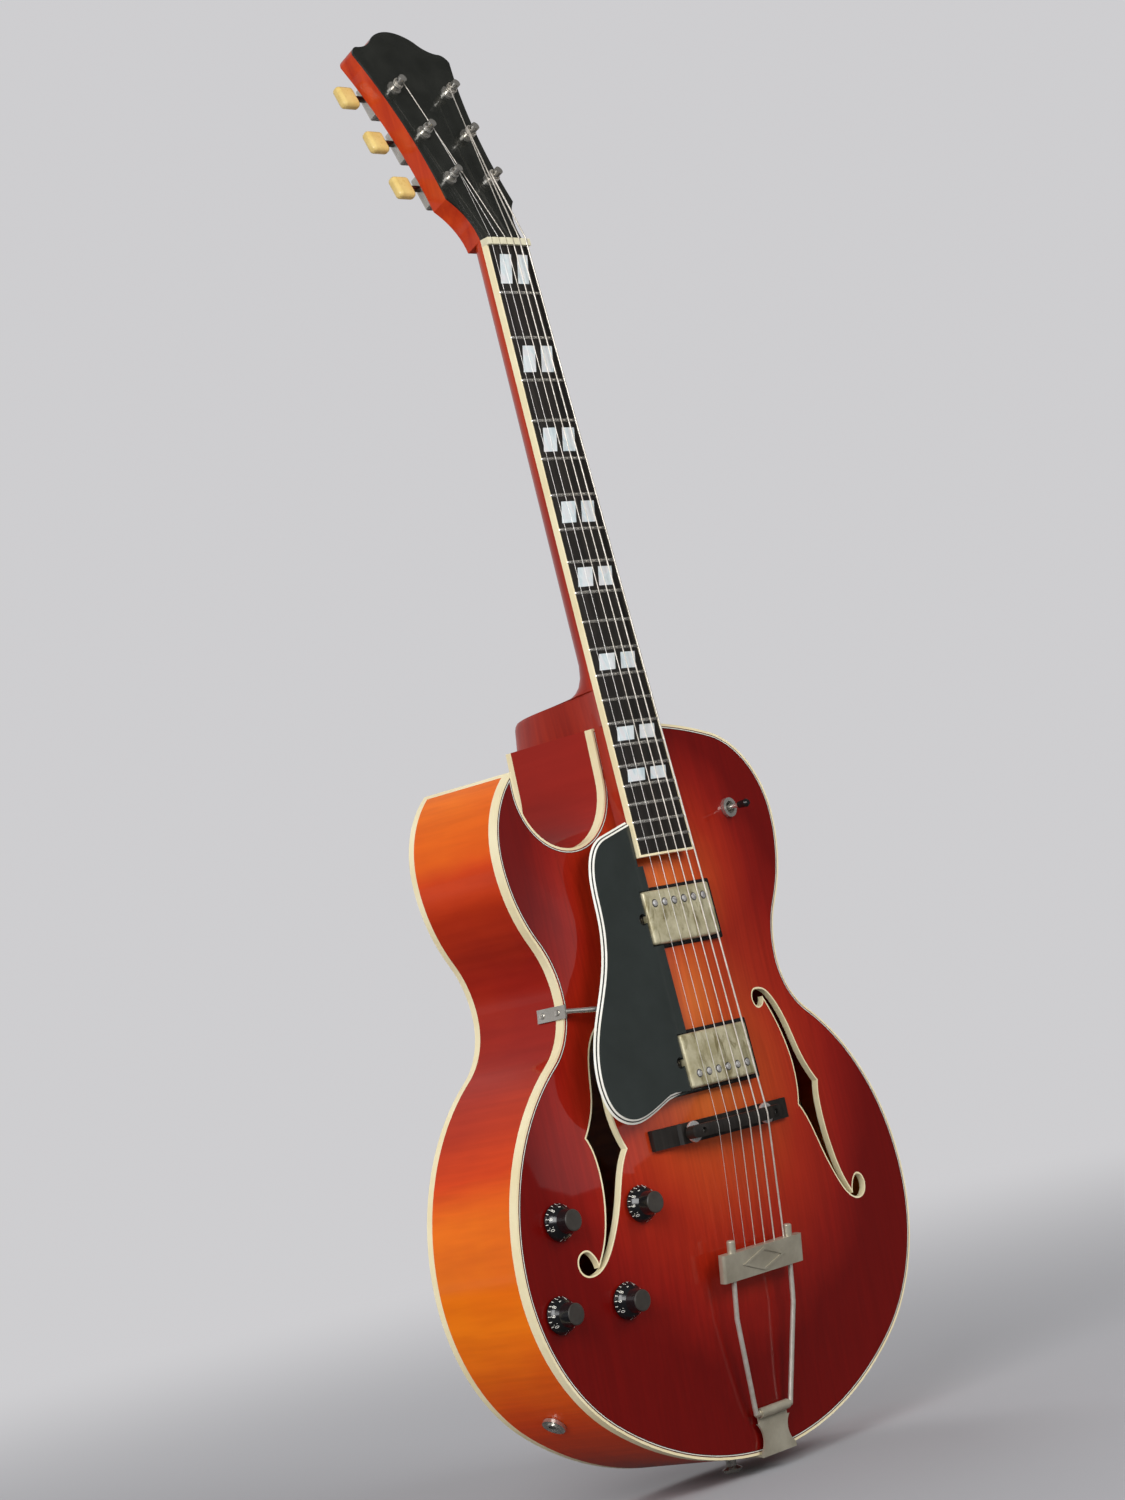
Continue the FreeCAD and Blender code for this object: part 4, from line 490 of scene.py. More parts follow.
# woods: dark, light, grain, roughness; plastics: tone, shade, roughness, coat, patches, specular;
# metals: tone, shadow, roughness, patches, stain, metallic
finishes = {
    "top": burstTop(), "sides": mapleSides(), "back": mapleBack(), "neck": cherryNeck(),
    "pearl": pearlShell(),
    "ebony": plainWood("ebony", (0.008, 0.007, 0.006), (0.024, 0.020, 0.017), (260, 260, 9), 0.42),
    "spruce": plainWood("spruce", (0.30, 0.19, 0.09), (0.46, 0.32, 0.17), (160, 160, 8), 0.7),
    "binding": mouldedPlastic("cream_binding", (0.84, 0.75, 0.50), (0.77, 0.66, 0.40), 0.32, 0.4, 25, 0.3),
    "whiteLine": mouldedPlastic("white_line", (0.80, 0.79, 0.73), (0.70, 0.68, 0.60), 0.35, 0.3, 40, 0.3),
    "blackLine": mouldedPlastic("black_line", (0.012, 0.011, 0.010), (0.007, 0.006, 0.006),
                                0.35, 0.2, 40, 0.3),
    "veneer": mouldedPlastic("black_face", (0.020, 0.021, 0.018), (0.012, 0.013, 0.011), 0.22, 0.5, 45, 0.3),
    "blackPlastic": mouldedPlastic("black_plastic", (0.012, 0.012, 0.012), (0.008, 0.008, 0.008),
                                   0.24, 0.0, 60, 0.4),
    "guard": mouldedPlastic("guard_black", (0.026, 0.032, 0.030), (0.021, 0.026, 0.024), 0.20, 0.4, 30, 0.35),
    "cream": mouldedPlastic("cream_button", (0.70, 0.52, 0.19), (0.60, 0.42, 0.13), 0.28, 0.3, 90, 0.4),
    "bone": mouldedPlastic("bone_nut", (0.70, 0.66, 0.48), (0.60, 0.55, 0.38), 0.4, 0.0, 160),
    "nickel": wornMetal("nickel", (0.74, 0.72, 0.67), (0.60, 0.57, 0.51), 0.24, 45, None, 0.85),
    "agedNickel": wornMetal("aged_nickel", (0.66, 0.61, 0.42), (0.44, 0.39, 0.23), 0.38, 75,
                            (0.24, 0.20, 0.09), 0.4),
    "brightNickel": wornMetal("bright_nickel", (0.82, 0.81, 0.80), (0.74, 0.73, 0.71), 0.22, 60, None, 0.7),
    "satinNickel": wornMetal("satin_nickel", (0.57, 0.53, 0.42), (0.42, 0.38, 0.29), 0.34, 40, None, 0.55),
    "knob": mouldedPlastic("knob_black", (0.010, 0.010, 0.011), (0.007, 0.007, 0.008), 0.16, 0.0, 60, 0.5),
    "knobTop": mouldedPlastic("knob_top", (0.046, 0.041, 0.035), (0.033, 0.029, 0.025), 0.40, 0.0, 160, 0.4),
    "darkMetal": wornMetal("dark_metal", (0.16, 0.15, 0.14), (0.08, 0.075, 0.07), 0.36, 120),
    "steel": wornMetal("string_steel", (0.82, 0.80, 0.77), (0.70, 0.68, 0.64), 0.30, 120, None, 0.7),
    "wound": wornMetal("wound_steel", (0.80, 0.75, 0.68), (0.64, 0.59, 0.51), 0.36, 160, None, 0.65),
}
print("materials made:", len(finishes))

# CAD pieces under their finishes: name, nodes, finish, slot and crease angle

dressed = [
    ("bodySides", ["rib_bass", "rib_treble", "rib_horn", "rib_cutaway"], "sides", "burst_maple", 30),
    ("topPlate", ["top_plate"], "top", "burst_maple", 30),
    ("backPlate", ["back_plate"], "back", "burst_maple", 30),
    ("bodyBinding", ["body_binding"], "binding", "cream_binding", 40),
    ("soundHoleBinding", ["f_hole_bindings"], "binding", "cream_binding", 35),
    ("neckShaft", ["neck"], "neck", "mahogany", 30),
    ("headFace", ["headstock_veneer"], "veneer", "black_veneer", 35),
    ("boardWood", ["fingerboard"], "ebony", "ebony", 25),
    ("boardBinding", ["fingerboard_binding"], "binding", "cream_binding", 30),
    ("boardBlocks", ["inlays"], "pearl", "pearl", 25),
    ("nutBone", ["nut"], "bone", "bone", 30),
    ("bridgeFoot", ["bridge_base"], "ebony", "ebony", 30),
    ("bridgeTop", ["bridge_saddle"], "ebony", "ebony", 30),
    ("wheelBass", ["thumbwheel_bass"], "brightNickel", "nickel", 30),
    ("wheelTreble", ["thumbwheel_treble"], "brightNickel", "nickel", 30),
    ("bridgePosts", ["bridge_posts"], "nickel", "nickel", 30),
    ("trapeze", ["tailpiece"], "satinNickel", "nickel", 30),
    ("trapezeHinge", ["tailpiece_hinge"], "satinNickel", "nickel", 30),
    ("neckCover", ["neck_pickup_cover"], "agedNickel", "nickel", 30),
    ("bridgeCover", ["bridge_pickup_cover"], "agedNickel", "nickel", 30),
    ("neckRing", ["neck_pickup_ring"], "blackPlastic", "black_plastic", 30),
    ("bridgeRing", ["bridge_pickup_ring"], "blackPlastic", "black_plastic", 30),
]
nickelNodes = {"guardBracket": "pickguard_bracket", "switchBody": "toggle_switch",
               "switchLever": "toggle_lever", "jackSocket": "output_jack", "strapButton": "strap_button",
               "tunerHousings": "tuner_housings", "tunerBushings": "tuner_bushings"}
knobNodes = {"neckVolume": "volume_knob_neck", "bridgeVolume": "volume_knob_bridge",
             "neckTone": "tone_knob_neck", "bridgeTone": "tone_knob_bridge"}
tuners = range(1, 7)
dressed += [(name, [node], "nickel", "nickel", 30) for name, node in nickelNodes.items()]
dressed += [(name, [node], "knob", "black_plastic", 28) for name, node in knobNodes.items()]
dressed += [("tunerPost%d" % number, ["tuner_post_%d" % number], "nickel", "nickel", 30) for number in tuners]
dressed += [("tunerKey%d" % number, ["tuner_key_%d" % number], "darkMetal", "cream_plastic", 30)
            for number in tuners]
pieces = {}
for name, nodeNames, finish, slotName, crease in dressed:
    pieces[name] = smoothCopy(name, nodeNames, finishes[finish], crease)
for nodeName, finish in (("linings", "spruce"), ("top_braces", "spruce"), ("head_block", "spruce"),
                         ("tail_block", "spruce"), ("truss_rod", "steel"), ("pots", "nickel")):
    frame["nodes"][nodeName].data.materials.clear()
    frame["nodes"][nodeName].data.materials.append(finishes[finish])

twoTone = {"leverTip": -0.0555, "buttonLength": 0.0168, "knobTop": 0.0150, "rods": (0.036, 0.1195)}
secondFinish(pieces["switchLever"], finishes["blackPlastic"],
             lambda middle: middle[:, 1] < twoTone["leverTip"])
secondFinish(pieces["trapeze"], finishes["wound"],
             lambda middle: (middle[:, 2] > twoTone["rods"][0]) & (middle[:, 2] < twoTone["rods"][1]))
for number in tuners:
    outer = max(abs(corner[0]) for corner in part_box("tuner_key_%d" % number)) - twoTone["buttonLength"]
    secondFinish(pieces["tunerKey%d" % number], finishes["cream"],
                 lambda middle: np.abs(middle[:, 0]) > outer)
for name, node in knobNodes.items():
    joint = jointOfBody[bodyOfNode[node]]
    axis = np.array(joint["axis"], float)
    secondFinish(pieces[name], finishes["knobTop"],
                 lambda middle: (middle - joint["pos_m"]) @ axis > twoTone["knobTop"])
print("CAD pieces dressed:", len(pieces))


# strings

strings = {"diameters": (1.32, 1.07, 0.81, 0.61, 0.43, 0.33), "x": (26, 15.6, 5.2, -5.2, -15.6, -26),
           "anchor": (-68.1396, 139.3818), "crestZ": 224,
           "crest": (-77.650, -78.236, -78.461, -78.361, -77.916, -77.155),
           "slotX": (17.75, 10.65, 3.55, -3.55, -10.65, -17.75), "slotZ": 6,
           "slotY": (-1.643, -1.849, -1.884, -1.784, -1.529, -1.148),
           "postSide": (1, 1, 1, -1, -1, -1), "postX": (20.5, 22, 27.3, -27.3, -22, -20.5),
           "postZ": (54, 94.5, 134.5, 134.5, 94.5, 54), "postRadius": 3.45,
           "windingY": -9.1, "turns": 2, "turnGap": 0.66, "wound": 4, "behind": 0.25, "crease": 60,
           "around": 10, "playedSteps": 60, "headSteps": 12, "windingSteps": 60, "saddleSteps": 10,
           "tailSteps": 24}
stringCount = len(strings["diameters"])


def stringTubes(name, path):
    # a round tube along each path, closed at both ends
    def endsTwice(rows):
        return np.concatenate([rows[:, :1], rows, rows[:, -1:]], 1)

    along, path = endsTwice(unit(np.gradient(path, axis=1))), endsTwice(path)
    front = onHead(np.array([0, -1.0, 0])) - onHead(np.zeros(3))
    across = unit(np.cross(along, front))
    up = np.cross(across, along)
    thick = np.repeat(np.array(strings["diameters"])[:, None] / 2 / perMetre, path.shape[1], 1)
    thick[:, [0, -1]] = 0
    ring = np.linspace(0, 2 * np.pi, strings["around"], endpoint=False)
    points = path[:, :, None] + thick[:, :, None, None] * (across[:, :, None] * np.cos(ring)[:, None]
                                                          + up[:, :, None] * np.sin(ring)[:, None])
    faces = gridFaces(path.shape[1], strings["around"], wrapColumns=True)
    thing = newPiece(name, points, repeatFaces(faces, stringCount), finishes["wound"],
                     None, strings["crease"])
    thing.data.materials.append(finishes["steel"])
    plain = (np.repeat(np.arange(stringCount), len(faces)) >= strings["wound"]).astype(np.int32)
    thing.data.polygons.foreach_set("material_index", plain)
    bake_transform(thing)
    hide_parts("strings")


def makeStrings():
    # straight runs tail -> saddle -> nut -> post, then a helix: post + r (cos a, sin a), y rising with a
    width = np.array(strings["diameters"])[:, None]
    side, postX, postZ = (np.array(strings[key], float)[:, None] for key in ("postSide", "postX", "postZ"))
    level = np.ones(stringCount)
    anchorY, anchorZ = strings["anchor"]
    anchor = np.stack([strings["x"], level * anchorY, level * anchorZ], -1) / perMetre
    crest = np.stack([strings["x"], strings["crest"], level * strings["crestZ"]], -1) / perMetre
    slot = onNeck(np.stack([strings["slotX"], strings["slotY"], level * strings["slotZ"]], -1) / perMetre)
    onBoard = turnAboutX(slot - guitarFrames["nut"], -guitarFrames["neckPitch"])
    inHead = turnAboutX(onBoard - guitarFrames["headShift"], -guitarFrames["headTilt"]) * perMetre
    deltaX, deltaZ = inHead[:, 0:1] - postX, inHead[:, 2:3] - postZ
    radius = strings["postRadius"] + width / 2
    first = np.arctan2(deltaZ, deltaX) - side * np.arccos(radius / np.hypot(deltaX, deltaZ))
    turn = np.linspace(0, strings["turns"], strings["windingSteps"])[None]
    angle = first - side * 2 * np.pi * turn
    rise = strings["windingY"] + (width + strings["turnGap"]) * turn
    coil = np.stack([postX + radius * np.cos(angle), rise, postZ + radius * np.sin(angle)], -1)
    winding = onHead(coil / perMetre)
    behind = crest + (anchor - crest) * strings["behind"]

    def run(start, end, count, last=True):
        share = np.linspace(0, 1, count, endpoint=last)[None, :, None]
        return start[:, None] * (1 - share) + end[:, None] * share

    played = np.concatenate([run(crest, slot, strings["playedSteps"], False),
                             run(slot, winding[:, 0], strings["headSteps"], False), winding], 1)
    stringTubes("stringSet", played)
    short, tail = run(crest, behind, strings["saddleSteps"]), run(behind, anchor, strings["tailSteps"])
    stringTubes("stringsBehindSaddle", short)
    stringTubes("stringTails", tail)


# frets

fretWire = {"scale": 628.65, "count": 20, "height": 1.1, "width": 2.4, "inset": 1.0, "nutHalf": 21.75,
            "endHalf": 28.5, "length": 430.638, "radius": 305, "rounding": 1.4, "sink": 0.05, "taper": 0.35,
            "across": 25, "profile": 13, "crease": 60}


def makeFrets():
    # half-ellipse profile carried across the board's arc y = R - sqrt(R^2 - x^2), its ends rounded down
    station = fretWire["scale"] * (1 - 2 ** (-np.arange(1, fretWire["count"] + 1) / 12))
    half = fretWire["nutHalf"] + (fretWire["endHalf"] - fretWire["nutHalf"]) * station / fretWire["length"]
    half = (half - fretWire["inset"])[:, None, None]
    t = np.sin(np.linspace(-np.pi / 2, np.pi / 2, fretWire["across"]))[None, :, None]
    turn = np.linspace(0, np.pi, fretWire["profile"])[None, None]
    x = half * t + 0 * turn
    past = np.clip((np.abs(x) - (half - fretWire["rounding"])) / fretWire["rounding"], 0, 1)
    lift = fretWire["height"] * np.sqrt(1 - past ** 2) * np.sin(turn)
    y = fretWire["radius"] - np.sqrt(fretWire["radius"] ** 2 - x ** 2) - lift + fretWire["sink"]
    z = -station[:, None, None] + fretWire["width"] / 2 * np.cos(turn) * (1 - fretWire["taper"] * past ** 2)
    points = onNeck(np.stack([x, y, z], -1) / perMetre)
    faces = repeatFaces(gridFaces(fretWire["across"], fretWire["profile"]), fretWire["count"])
    thing = newPiece("fretWires", points, faces, finishes["nickel"], bodyOfNode["frets"],
                     fretWire["crease"])
    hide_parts("frets")


# lines inside the top's binding

purfling = {"before": -60.0, "stand": 0.06, "bands": ((2.15, 2.5, "blackLine"), (2.5, 3.05, "whiteLine"),
                                                      (3.05, 3.45, "blackLine")),
            "arcs": (((0, 252), 252, -90, -54.09102, 1), ((68.79124, 157), 134.70876, -54.09102, 0, 1),
                     ((42.10876, 157), 161.39124, 0, 54.4548, 1), ((165, 329), 50, 234.4548, 180, -1),
                     ((185, 329), 70, 180, 146.2832, -1), ((36.65, 428), 108.35, -33.7168, 0, 1),
                     ((75.30488, 428), 69.69512, 0, 74.41584, 1), ((0, 158), 350, 74.41584, 90, 1)),
            "scoop": ((-72, 472), 44), "steps": 30, "rows": 3}


def arcPoints(centre, radius, first, last):
    angle = np.radians(np.linspace(first, last, purfling["steps"]))
    return np.stack([centre[0] + radius * np.cos(angle), centre[1] + radius * np.sin(angle)], -1)


def bodyEdge(inset):
    # the body's outline drawn in: up the bass arcs, round the cutaway and down the mirrored treble arcs
    *lower, shoulder, neck = [(centre, radius - bulge * inset, first, last)
                              for centre, radius, first, last, bulge in purfling["arcs"]]
    (scoopX, scoopZ), scoopRadius = purfling["scoop"]
    scoopRadius += inset
    neckStop = math.degrees(math.acos((scoopX + scoopRadius) / neck[1]))
    hornStop = math.degrees(math.acos((scoopRadius - scoopX - shoulder[0][0]) / shoulder[1]))
    bass = [arcPoints(*arc) for arc in lower + [shoulder]] + [arcPoints(*neck[:3], neckStop)]
    treble = [arcPoints(*arc) for arc in lower] + [arcPoints(*shoulder[:3], hornStop)]
    scoop = arcPoints((scoopX, scoopZ), scoopRadius, 0, -180)
    return np.concatenate(bass + [scoop, (np.concatenate(treble) * (-1, 1))[::-1]])


def layOn(thing, target, stand):
    # presses a flat piece straight back on to a surface, and leaves it just proud of it
    wrap = thing.modifiers.new("laid", "SHRINKWRAP")
    wrap.target, wrap.wrap_method, wrap.offset = target, "PROJECT", stand
    wrap.use_project_y, wrap.use_positive_direction, wrap.use_negative_direction = True, True, False
    bpy.context.view_layer.update()
    laid = bpy.data.meshes.new_from_object(thing.evaluated_get(bpy.context.evaluated_depsgraph_get()))
    thing.modifiers.clear()
    thing.data = laid


def makePurfling():
    # a flat ribbon between two drawn-in outlines for each band, laid on the top
    for number, (outer, inner, finish) in enumerate(purfling["bands"]):
        rows = np.stack([bodyEdge(inset) for inset in np.linspace(outer, inner, purfling["rows"])])
        before = np.full(rows.shape[:2], purfling["before"])
        points = np.stack([rows[..., 0], before, rows[..., 1]], -1) / perMetre
        faces = gridFaces(*rows.shape[:2], wrapColumns=True)
        ribbon = newPiece("purfling%d" % (number + 1), points, faces, finishes[finish],
                          bodyOfNode["top_plate"])
        layOn(ribbon, pieces["topPlate"], purfling["stand"] / perMetre)


# pickguard with a bevelled edge of white, black and white layers

guard = {"face": 4.0, "faceWithin": 0.05, "sheetBevel": 4.0, "nearest": 0.4, "middle": (-60, 313),
         "from": 76.0, "to": 290.0, "end": (-36.0, -605.33), "crease": 25,
         "profile": ((0.0, 2.4), (1.25, 1.45), (2.0, 0.85), (3.1, 0.0), (4.4, -0.02)),
         "layers": ("whiteLine", "blackLine", "whiteLine", "guard")}


def makeGuard():
    # the flank's front corners move in to leave a slope; the trim carries (inset, depth) pairs along it
    points, triangles = mergedNodes(["pickguard"])
    local = turnAboutX(points - guitarFrames["nut"], -guitarFrames["neckPitch"]) * perMetre
    station = local[:, 2] + guitarFrames["nut"][2] * perMetre
    bearing = np.degrees(np.arctan2(station - guard["middle"][1], local[:, 0] - guard["middle"][0])) % 360
    flank = np.flatnonzero((bearing > guard["from"]) & (bearing < guard["to"]))
    flank = flank[np.argsort(bearing[flank])]
    front = flank[np.abs(local[flank, 1] - guard["face"]) < guard["faceWithin"]]
    path = local[front][:, [0, 2]]
    apart = np.concatenate([[True], np.linalg.norm(np.diff(path, axis=0), axis=-1) > guard["nearest"]])
    path = np.concatenate([path[apart], [guard["end"]]])
    along = unit(np.gradient(path, axis=0))
    inward = np.stack([-along[:, 1], along[:, 0]], -1)

    def line(inset, depth):
        edge = path + inward * inset
        return np.stack([edge[:, 0], np.full(len(edge), guard["face"] + depth), edge[:, 1]], -1)

    crown = line(guard["sheetBevel"], 0)[:-1]
    known = bearing[front][apart]
    crown = np.stack([np.interp(bearing[flank], known, column) for column in crown.T], -1)
    rise = 1 - np.clip((local[flank, 1:2] - guard["face"]) / guard["profile"][0][1], 0, 1)
    local[flank] += (crown - local[flank]) * rise * (1, 0, 1)
    thing = newPiece("guardSheet", onNeck(local / perMetre), triangles, finishes["guard"],
                     bodyOfNode["pickguard"], guard["crease"])
    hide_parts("pickguard")
    for number, finish in enumerate(guard["layers"]):
        rows = np.stack([line(*guard["profile"][number]), line(*guard["profile"][number + 1])])
        newPiece("guardTrim%d" % (number + 1), onNeck(rows / perMetre), gridFaces(2, len(path)),
                 finishes[finish], bodyOfNode["pickguard"])


# slotted screws

screws = {"pole": {"radius": 2.3, "height": 0.85, "slot": 0.42, "deep": 0.55, "skirt": 0.3},
          "height": {"radius": 2.0, "height": 0.9, "slot": 0.4, "deep": 0.6, "skirt": 0.6},
          "strap": {"radius": 2.1, "height": 0.9, "slot": 0.4, "deep": 0.6, "skirt": 0.3},
          "strapAxis": (-0.987, 0, 0.16),
          "strapPlaces": (((-0.11738, -0.0245, 0.321), 0.6), ((-0.11738, -0.0385, 0.321), 2.2)),
          "poles": 6, "poleX": 10.2, "poleY": 9.5, "heightPlaces": ((-38.5, 0.5), (38.5, 2.0)),
          "chords": 9, "across": 15, "slotEdge": 1.12, "doming": 0.7, "crease": 35,
          # rim: a dark ring of painted shade round each pole screw, in place of the shadowed gap
          "rim": ((2.2, -0.2), (2.95, -0.2), (2.95, 0.06), (2.2, 0.06)), "shadeRingSteps": 24,
          "poleTurns": (0.4, 2.1, 1.2, 2.8, 0.9, 1.7, 2.4, 0.2, 1.5, 0.7, 2.9, 1.1)}


def slottedHead(shape):
    # chords of a disc, x = R u, y = R v sqrt(1 - u^2); z = h sqrt(1 - doming r^2), less the slot
    slot, radius = shape["slot"] / shape["radius"], shape["radius"]
    outside = np.sin(np.linspace(math.asin(slot * screws["slotEdge"]), np.pi / 2, screws["chords"]))
    u = np.concatenate([-outside[::-1], [-slot, 0, slot], outside])[:, None]
    v = np.concatenate([[-1], np.sin(np.linspace(-np.pi / 2, np.pi / 2, screws["across"])), [1]])[None]
    x, y = radius * u + 0 * v, radius * v * np.sqrt(1 - u ** 2)
    z = shape["height"] * np.sqrt(1 - screws["doming"] * (x ** 2 + y ** 2) / radius ** 2)
    z = np.where(np.abs(u) <= slot, z - shape["deep"], z)
    z[:, [0, -1]] = -shape["skirt"]
    return np.stack([x, y, z], -1), gridFaces(*x.shape, wrapColumns=True)


def turnedAbout(points, angle):
    x, y, z = np.moveaxis(points, -1, 0)
    cos, sin = math.cos(angle), math.sin(angle)
    return np.stack([x * cos - y * sin, x * sin + y * cos, z], -1)


def paintedShadeRing():
    # painted shade: a dark ring that stands in for the shadowed gap round a pole screw; x = r cos a, y = r sin a,
    # for each corner (r, z) of a small square
    corner = np.array(screws["rim"])[:, None]
    angle = np.linspace(0, 2 * np.pi, screws["shadeRingSteps"], endpoint=False)[None]
    x, y, z = corner[..., 0] * np.cos(angle), corner[..., 0] * np.sin(angle), corner[..., 1] + 0 * angle
    return np.stack([x, y, z], -1), gridFaces(*x.shape, wrapRows=True, wrapColumns=True)


def makePoleScrews():
    head, faces = slottedHead(screws["pole"])
    rim, shadeRingFaces = paintedShadeRing()
    count = screws["poles"]
    across = (np.arange(count) - (count - 1) / 2) * screws["poleX"]
    for which, node, name, side, turns in (
            ("neckPickup", "neck_pole_screws", "neckPoles", 1, screws["poleTurns"][:count]),
            ("bridgePickup", "bridge_pole_screws", "bridgePoles", -1, screws["poleTurns"][count:])):
        places = np.stack([across, 0 * across + side * screws["poleY"], 0 * across], -1)[:, None, None]
        heads = np.stack([turnedAbout(head, turn) for turn in turns]) + places
        shadeRings = rim[None] + places
        # a dark ring of painted shade round each pole screw, under its head
        newPiece(name + "ShadeRings", onPickup(which, shadeRings / perMetre), repeatFaces(shadeRingFaces, count),
                 finishes["darkMetal"], bodyOfNode[node], screws["crease"])
        thing = newPiece(name, onPickup(which, heads / perMetre), repeatFaces(faces, count),
                         finishes["brightNickel"], bodyOfNode[node], screws["crease"])
        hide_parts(node)


def makeSmallScrews():
    head, faces = slottedHead(screws["height"])
    heads = np.stack([turnedAbout(head, turn) + (x, 0, 0) for x, turn in screws["heightPlaces"]])
    faces = repeatFaces(faces, len(heads))
    for which, node, name in (("neckRing", "neck_pickup_ring", "neckRingScrews"),
                              ("bridgeRing", "bridge_pickup_ring", "bridgeRingScrews")):
        newPiece(name, onPickup(which, heads / perMetre), faces, finishes["darkMetal"],
                 bodyOfNode[node], screws["crease"])
    head, faces = slottedHead(screws["strap"])
    heads = [alongAxis(head / perMetre, place, screws["strapAxis"], turn)
             for place, turn in screws["strapPlaces"]]
    newPiece("strapScrews", np.stack(heads), repeatFaces(faces, len(heads)), finishes["nickel"],
             bodyOfNode["pickguard_bracket"], screws["crease"])


# numbers and ticks on the knobs

dial = {"skirt": ((12.4, 1.6), (10.9, 4.6), (8.1, 7.6)), "stand": 0.05, "sweep": 300, "first": 30,
        "tick": (0.0, 1.75, 0.22), "number": (2.15, 2.9), "capShare": 0.72, "curveSteps": 3,
        "labels": ("1", "2", "3", "4", "5", "6", "7", "8", "9", "10"),
        "turns": {"volume_knob_neck": 0.3, "volume_knob_bridge": 0.15,
                  "tone_knob_neck": 0.0, "tone_knob_bridge": 0.2}}


def onSkirt(across, along, bearing):
    # a point across mm round the skirt and along mm up its slope, standing just off it
    corner = np.array(dial["skirt"])
    reach = np.concatenate([[0], np.cumsum(np.hypot(*np.diff(corner, axis=0).T))])
    radius = np.interp(along, reach, corner[:, 0]) + dial["stand"]
    height = np.interp(along, reach, corner[:, 1]) + dial["stand"]
    angle = bearing + across / radius
    return np.stack([radius * np.cos(angle), radius * np.sin(angle), height + 0 * angle], -1)


def labelMesh(label):
    # the outline of a number as a filled flat mesh, centred, with its foot at zero
    curve = bpy.data.curves.new("label" + label, "FONT")
    curve.body, curve.size, curve.align_x = label, dial["number"][1] / dial["capShare"], "CENTER"
    curve.resolution_u = dial["curveSteps"]
    thing = bpy.data.objects.new("label" + label, curve)
    mesh = bpy.data.meshes.new_from_object(thing)
    flat = np.empty(len(mesh.vertices) * 3)
    mesh.vertices.foreach_get("co", flat)
    faces = [list(face.vertices) for face in mesh.polygons]
    bpy.data.objects.remove(thing)
    bpy.data.curves.remove(curve)
    bpy.data.meshes.remove(mesh)
    return flat.reshape(-1, 3), faces


def makeDials():
    labels = [labelMesh(label) for label in dial["labels"]]
    bearings = np.radians(dial["first"] + np.linspace(0, dial["sweep"], len(labels)))
    low, high, half = dial["tick"]
    corners = np.array([(-half, low), (half, low), (half, high), (-half, high)])
    ticks = np.radians(dial["first"] + np.linspace(0, dial["sweep"], 2 * len(labels) - 1))
    parts = [onSkirt(corners[None, :, 0], corners[None, :, 1], ticks[:, None]).reshape(-1, 3)]
    faces = np.arange(len(ticks) * 4).reshape(-1, 4).tolist()
    start = len(parts[0])
    for (flat, labelFaces), bearing in zip(labels, bearings):
        parts.append(onSkirt(flat[:, 0], flat[:, 1] + dial["number"][0], bearing))
        faces += [[index + start for index in face] for face in labelFaces]
        start += len(flat)
    points = np.concatenate(parts) / perMetre
    for node, turn in dial["turns"].items():
        joint = jointOfBody[bodyOfNode[node]]
        placed = alongAxis(points, joint["pos_m"], joint["axis"], turn)
        newPiece(node.replace("_", "") + "Dial", placed, faces, finishes["whiteLine"], bodyOfNode[node])


makeStrings()
makeFrets()
makePurfling()
makeGuard()
makePoleScrews()
makeSmallScrews()
makeDials()
print("detail pieces made")

# stage, light and camera

stageSettings = {"floorRings": (0.02, 0.4, 1, 2, 4, 8, 14), "floorSides": 96, "floorHeight": -0.0122,
                 "floorColor": (0.37, 0.37, 0.39), "floorRoughness": 0.85, "floorSpecular": 0.1,
                 "fade": (0.5, 2.6), "backColor": (0.62, 0.615, 0.63), "roomColor": (0.05, 0.048, 0.048),
                 "backGlow": (1.0, 0.25), "frontGlow": (-0.88, -0.62), "floorDim": (2.5, 0.8),
                 "skyColor": (1, 0.99, 0.97), "skyStrength": 0.42}


def backdropSeen(owner, unlit):
    # pale to the camera and in reflections, but a dim room in a reflection where unlit is 1
    path = addNode(owner, "ShaderNodeLightPath")
    reflected = maths(owner, "MAXIMUM", path.outputs["Is Glossy Ray"], path.outputs["Is Transmission Ray"])
    dim = maths(owner, "MULTIPLY", reflected, unlit)
    tone = mixColor(owner, dim, stageSettings["backColor"], stageSettings["roomColor"])
    return tone, maths(owner, "MAXIMUM", path.outputs["Is Camera Ray"], reflected), dim


def mixShaders(owner, factor, first, second, output):
    mix = addNode(owner, "ShaderNodeMixShader")
    for source, socket in zip((factor, first, second), mix.inputs):
        join(owner, source, socket)
    join(owner, mix.outputs["Shader"], owner.node_tree.nodes[output].inputs["Surface"])


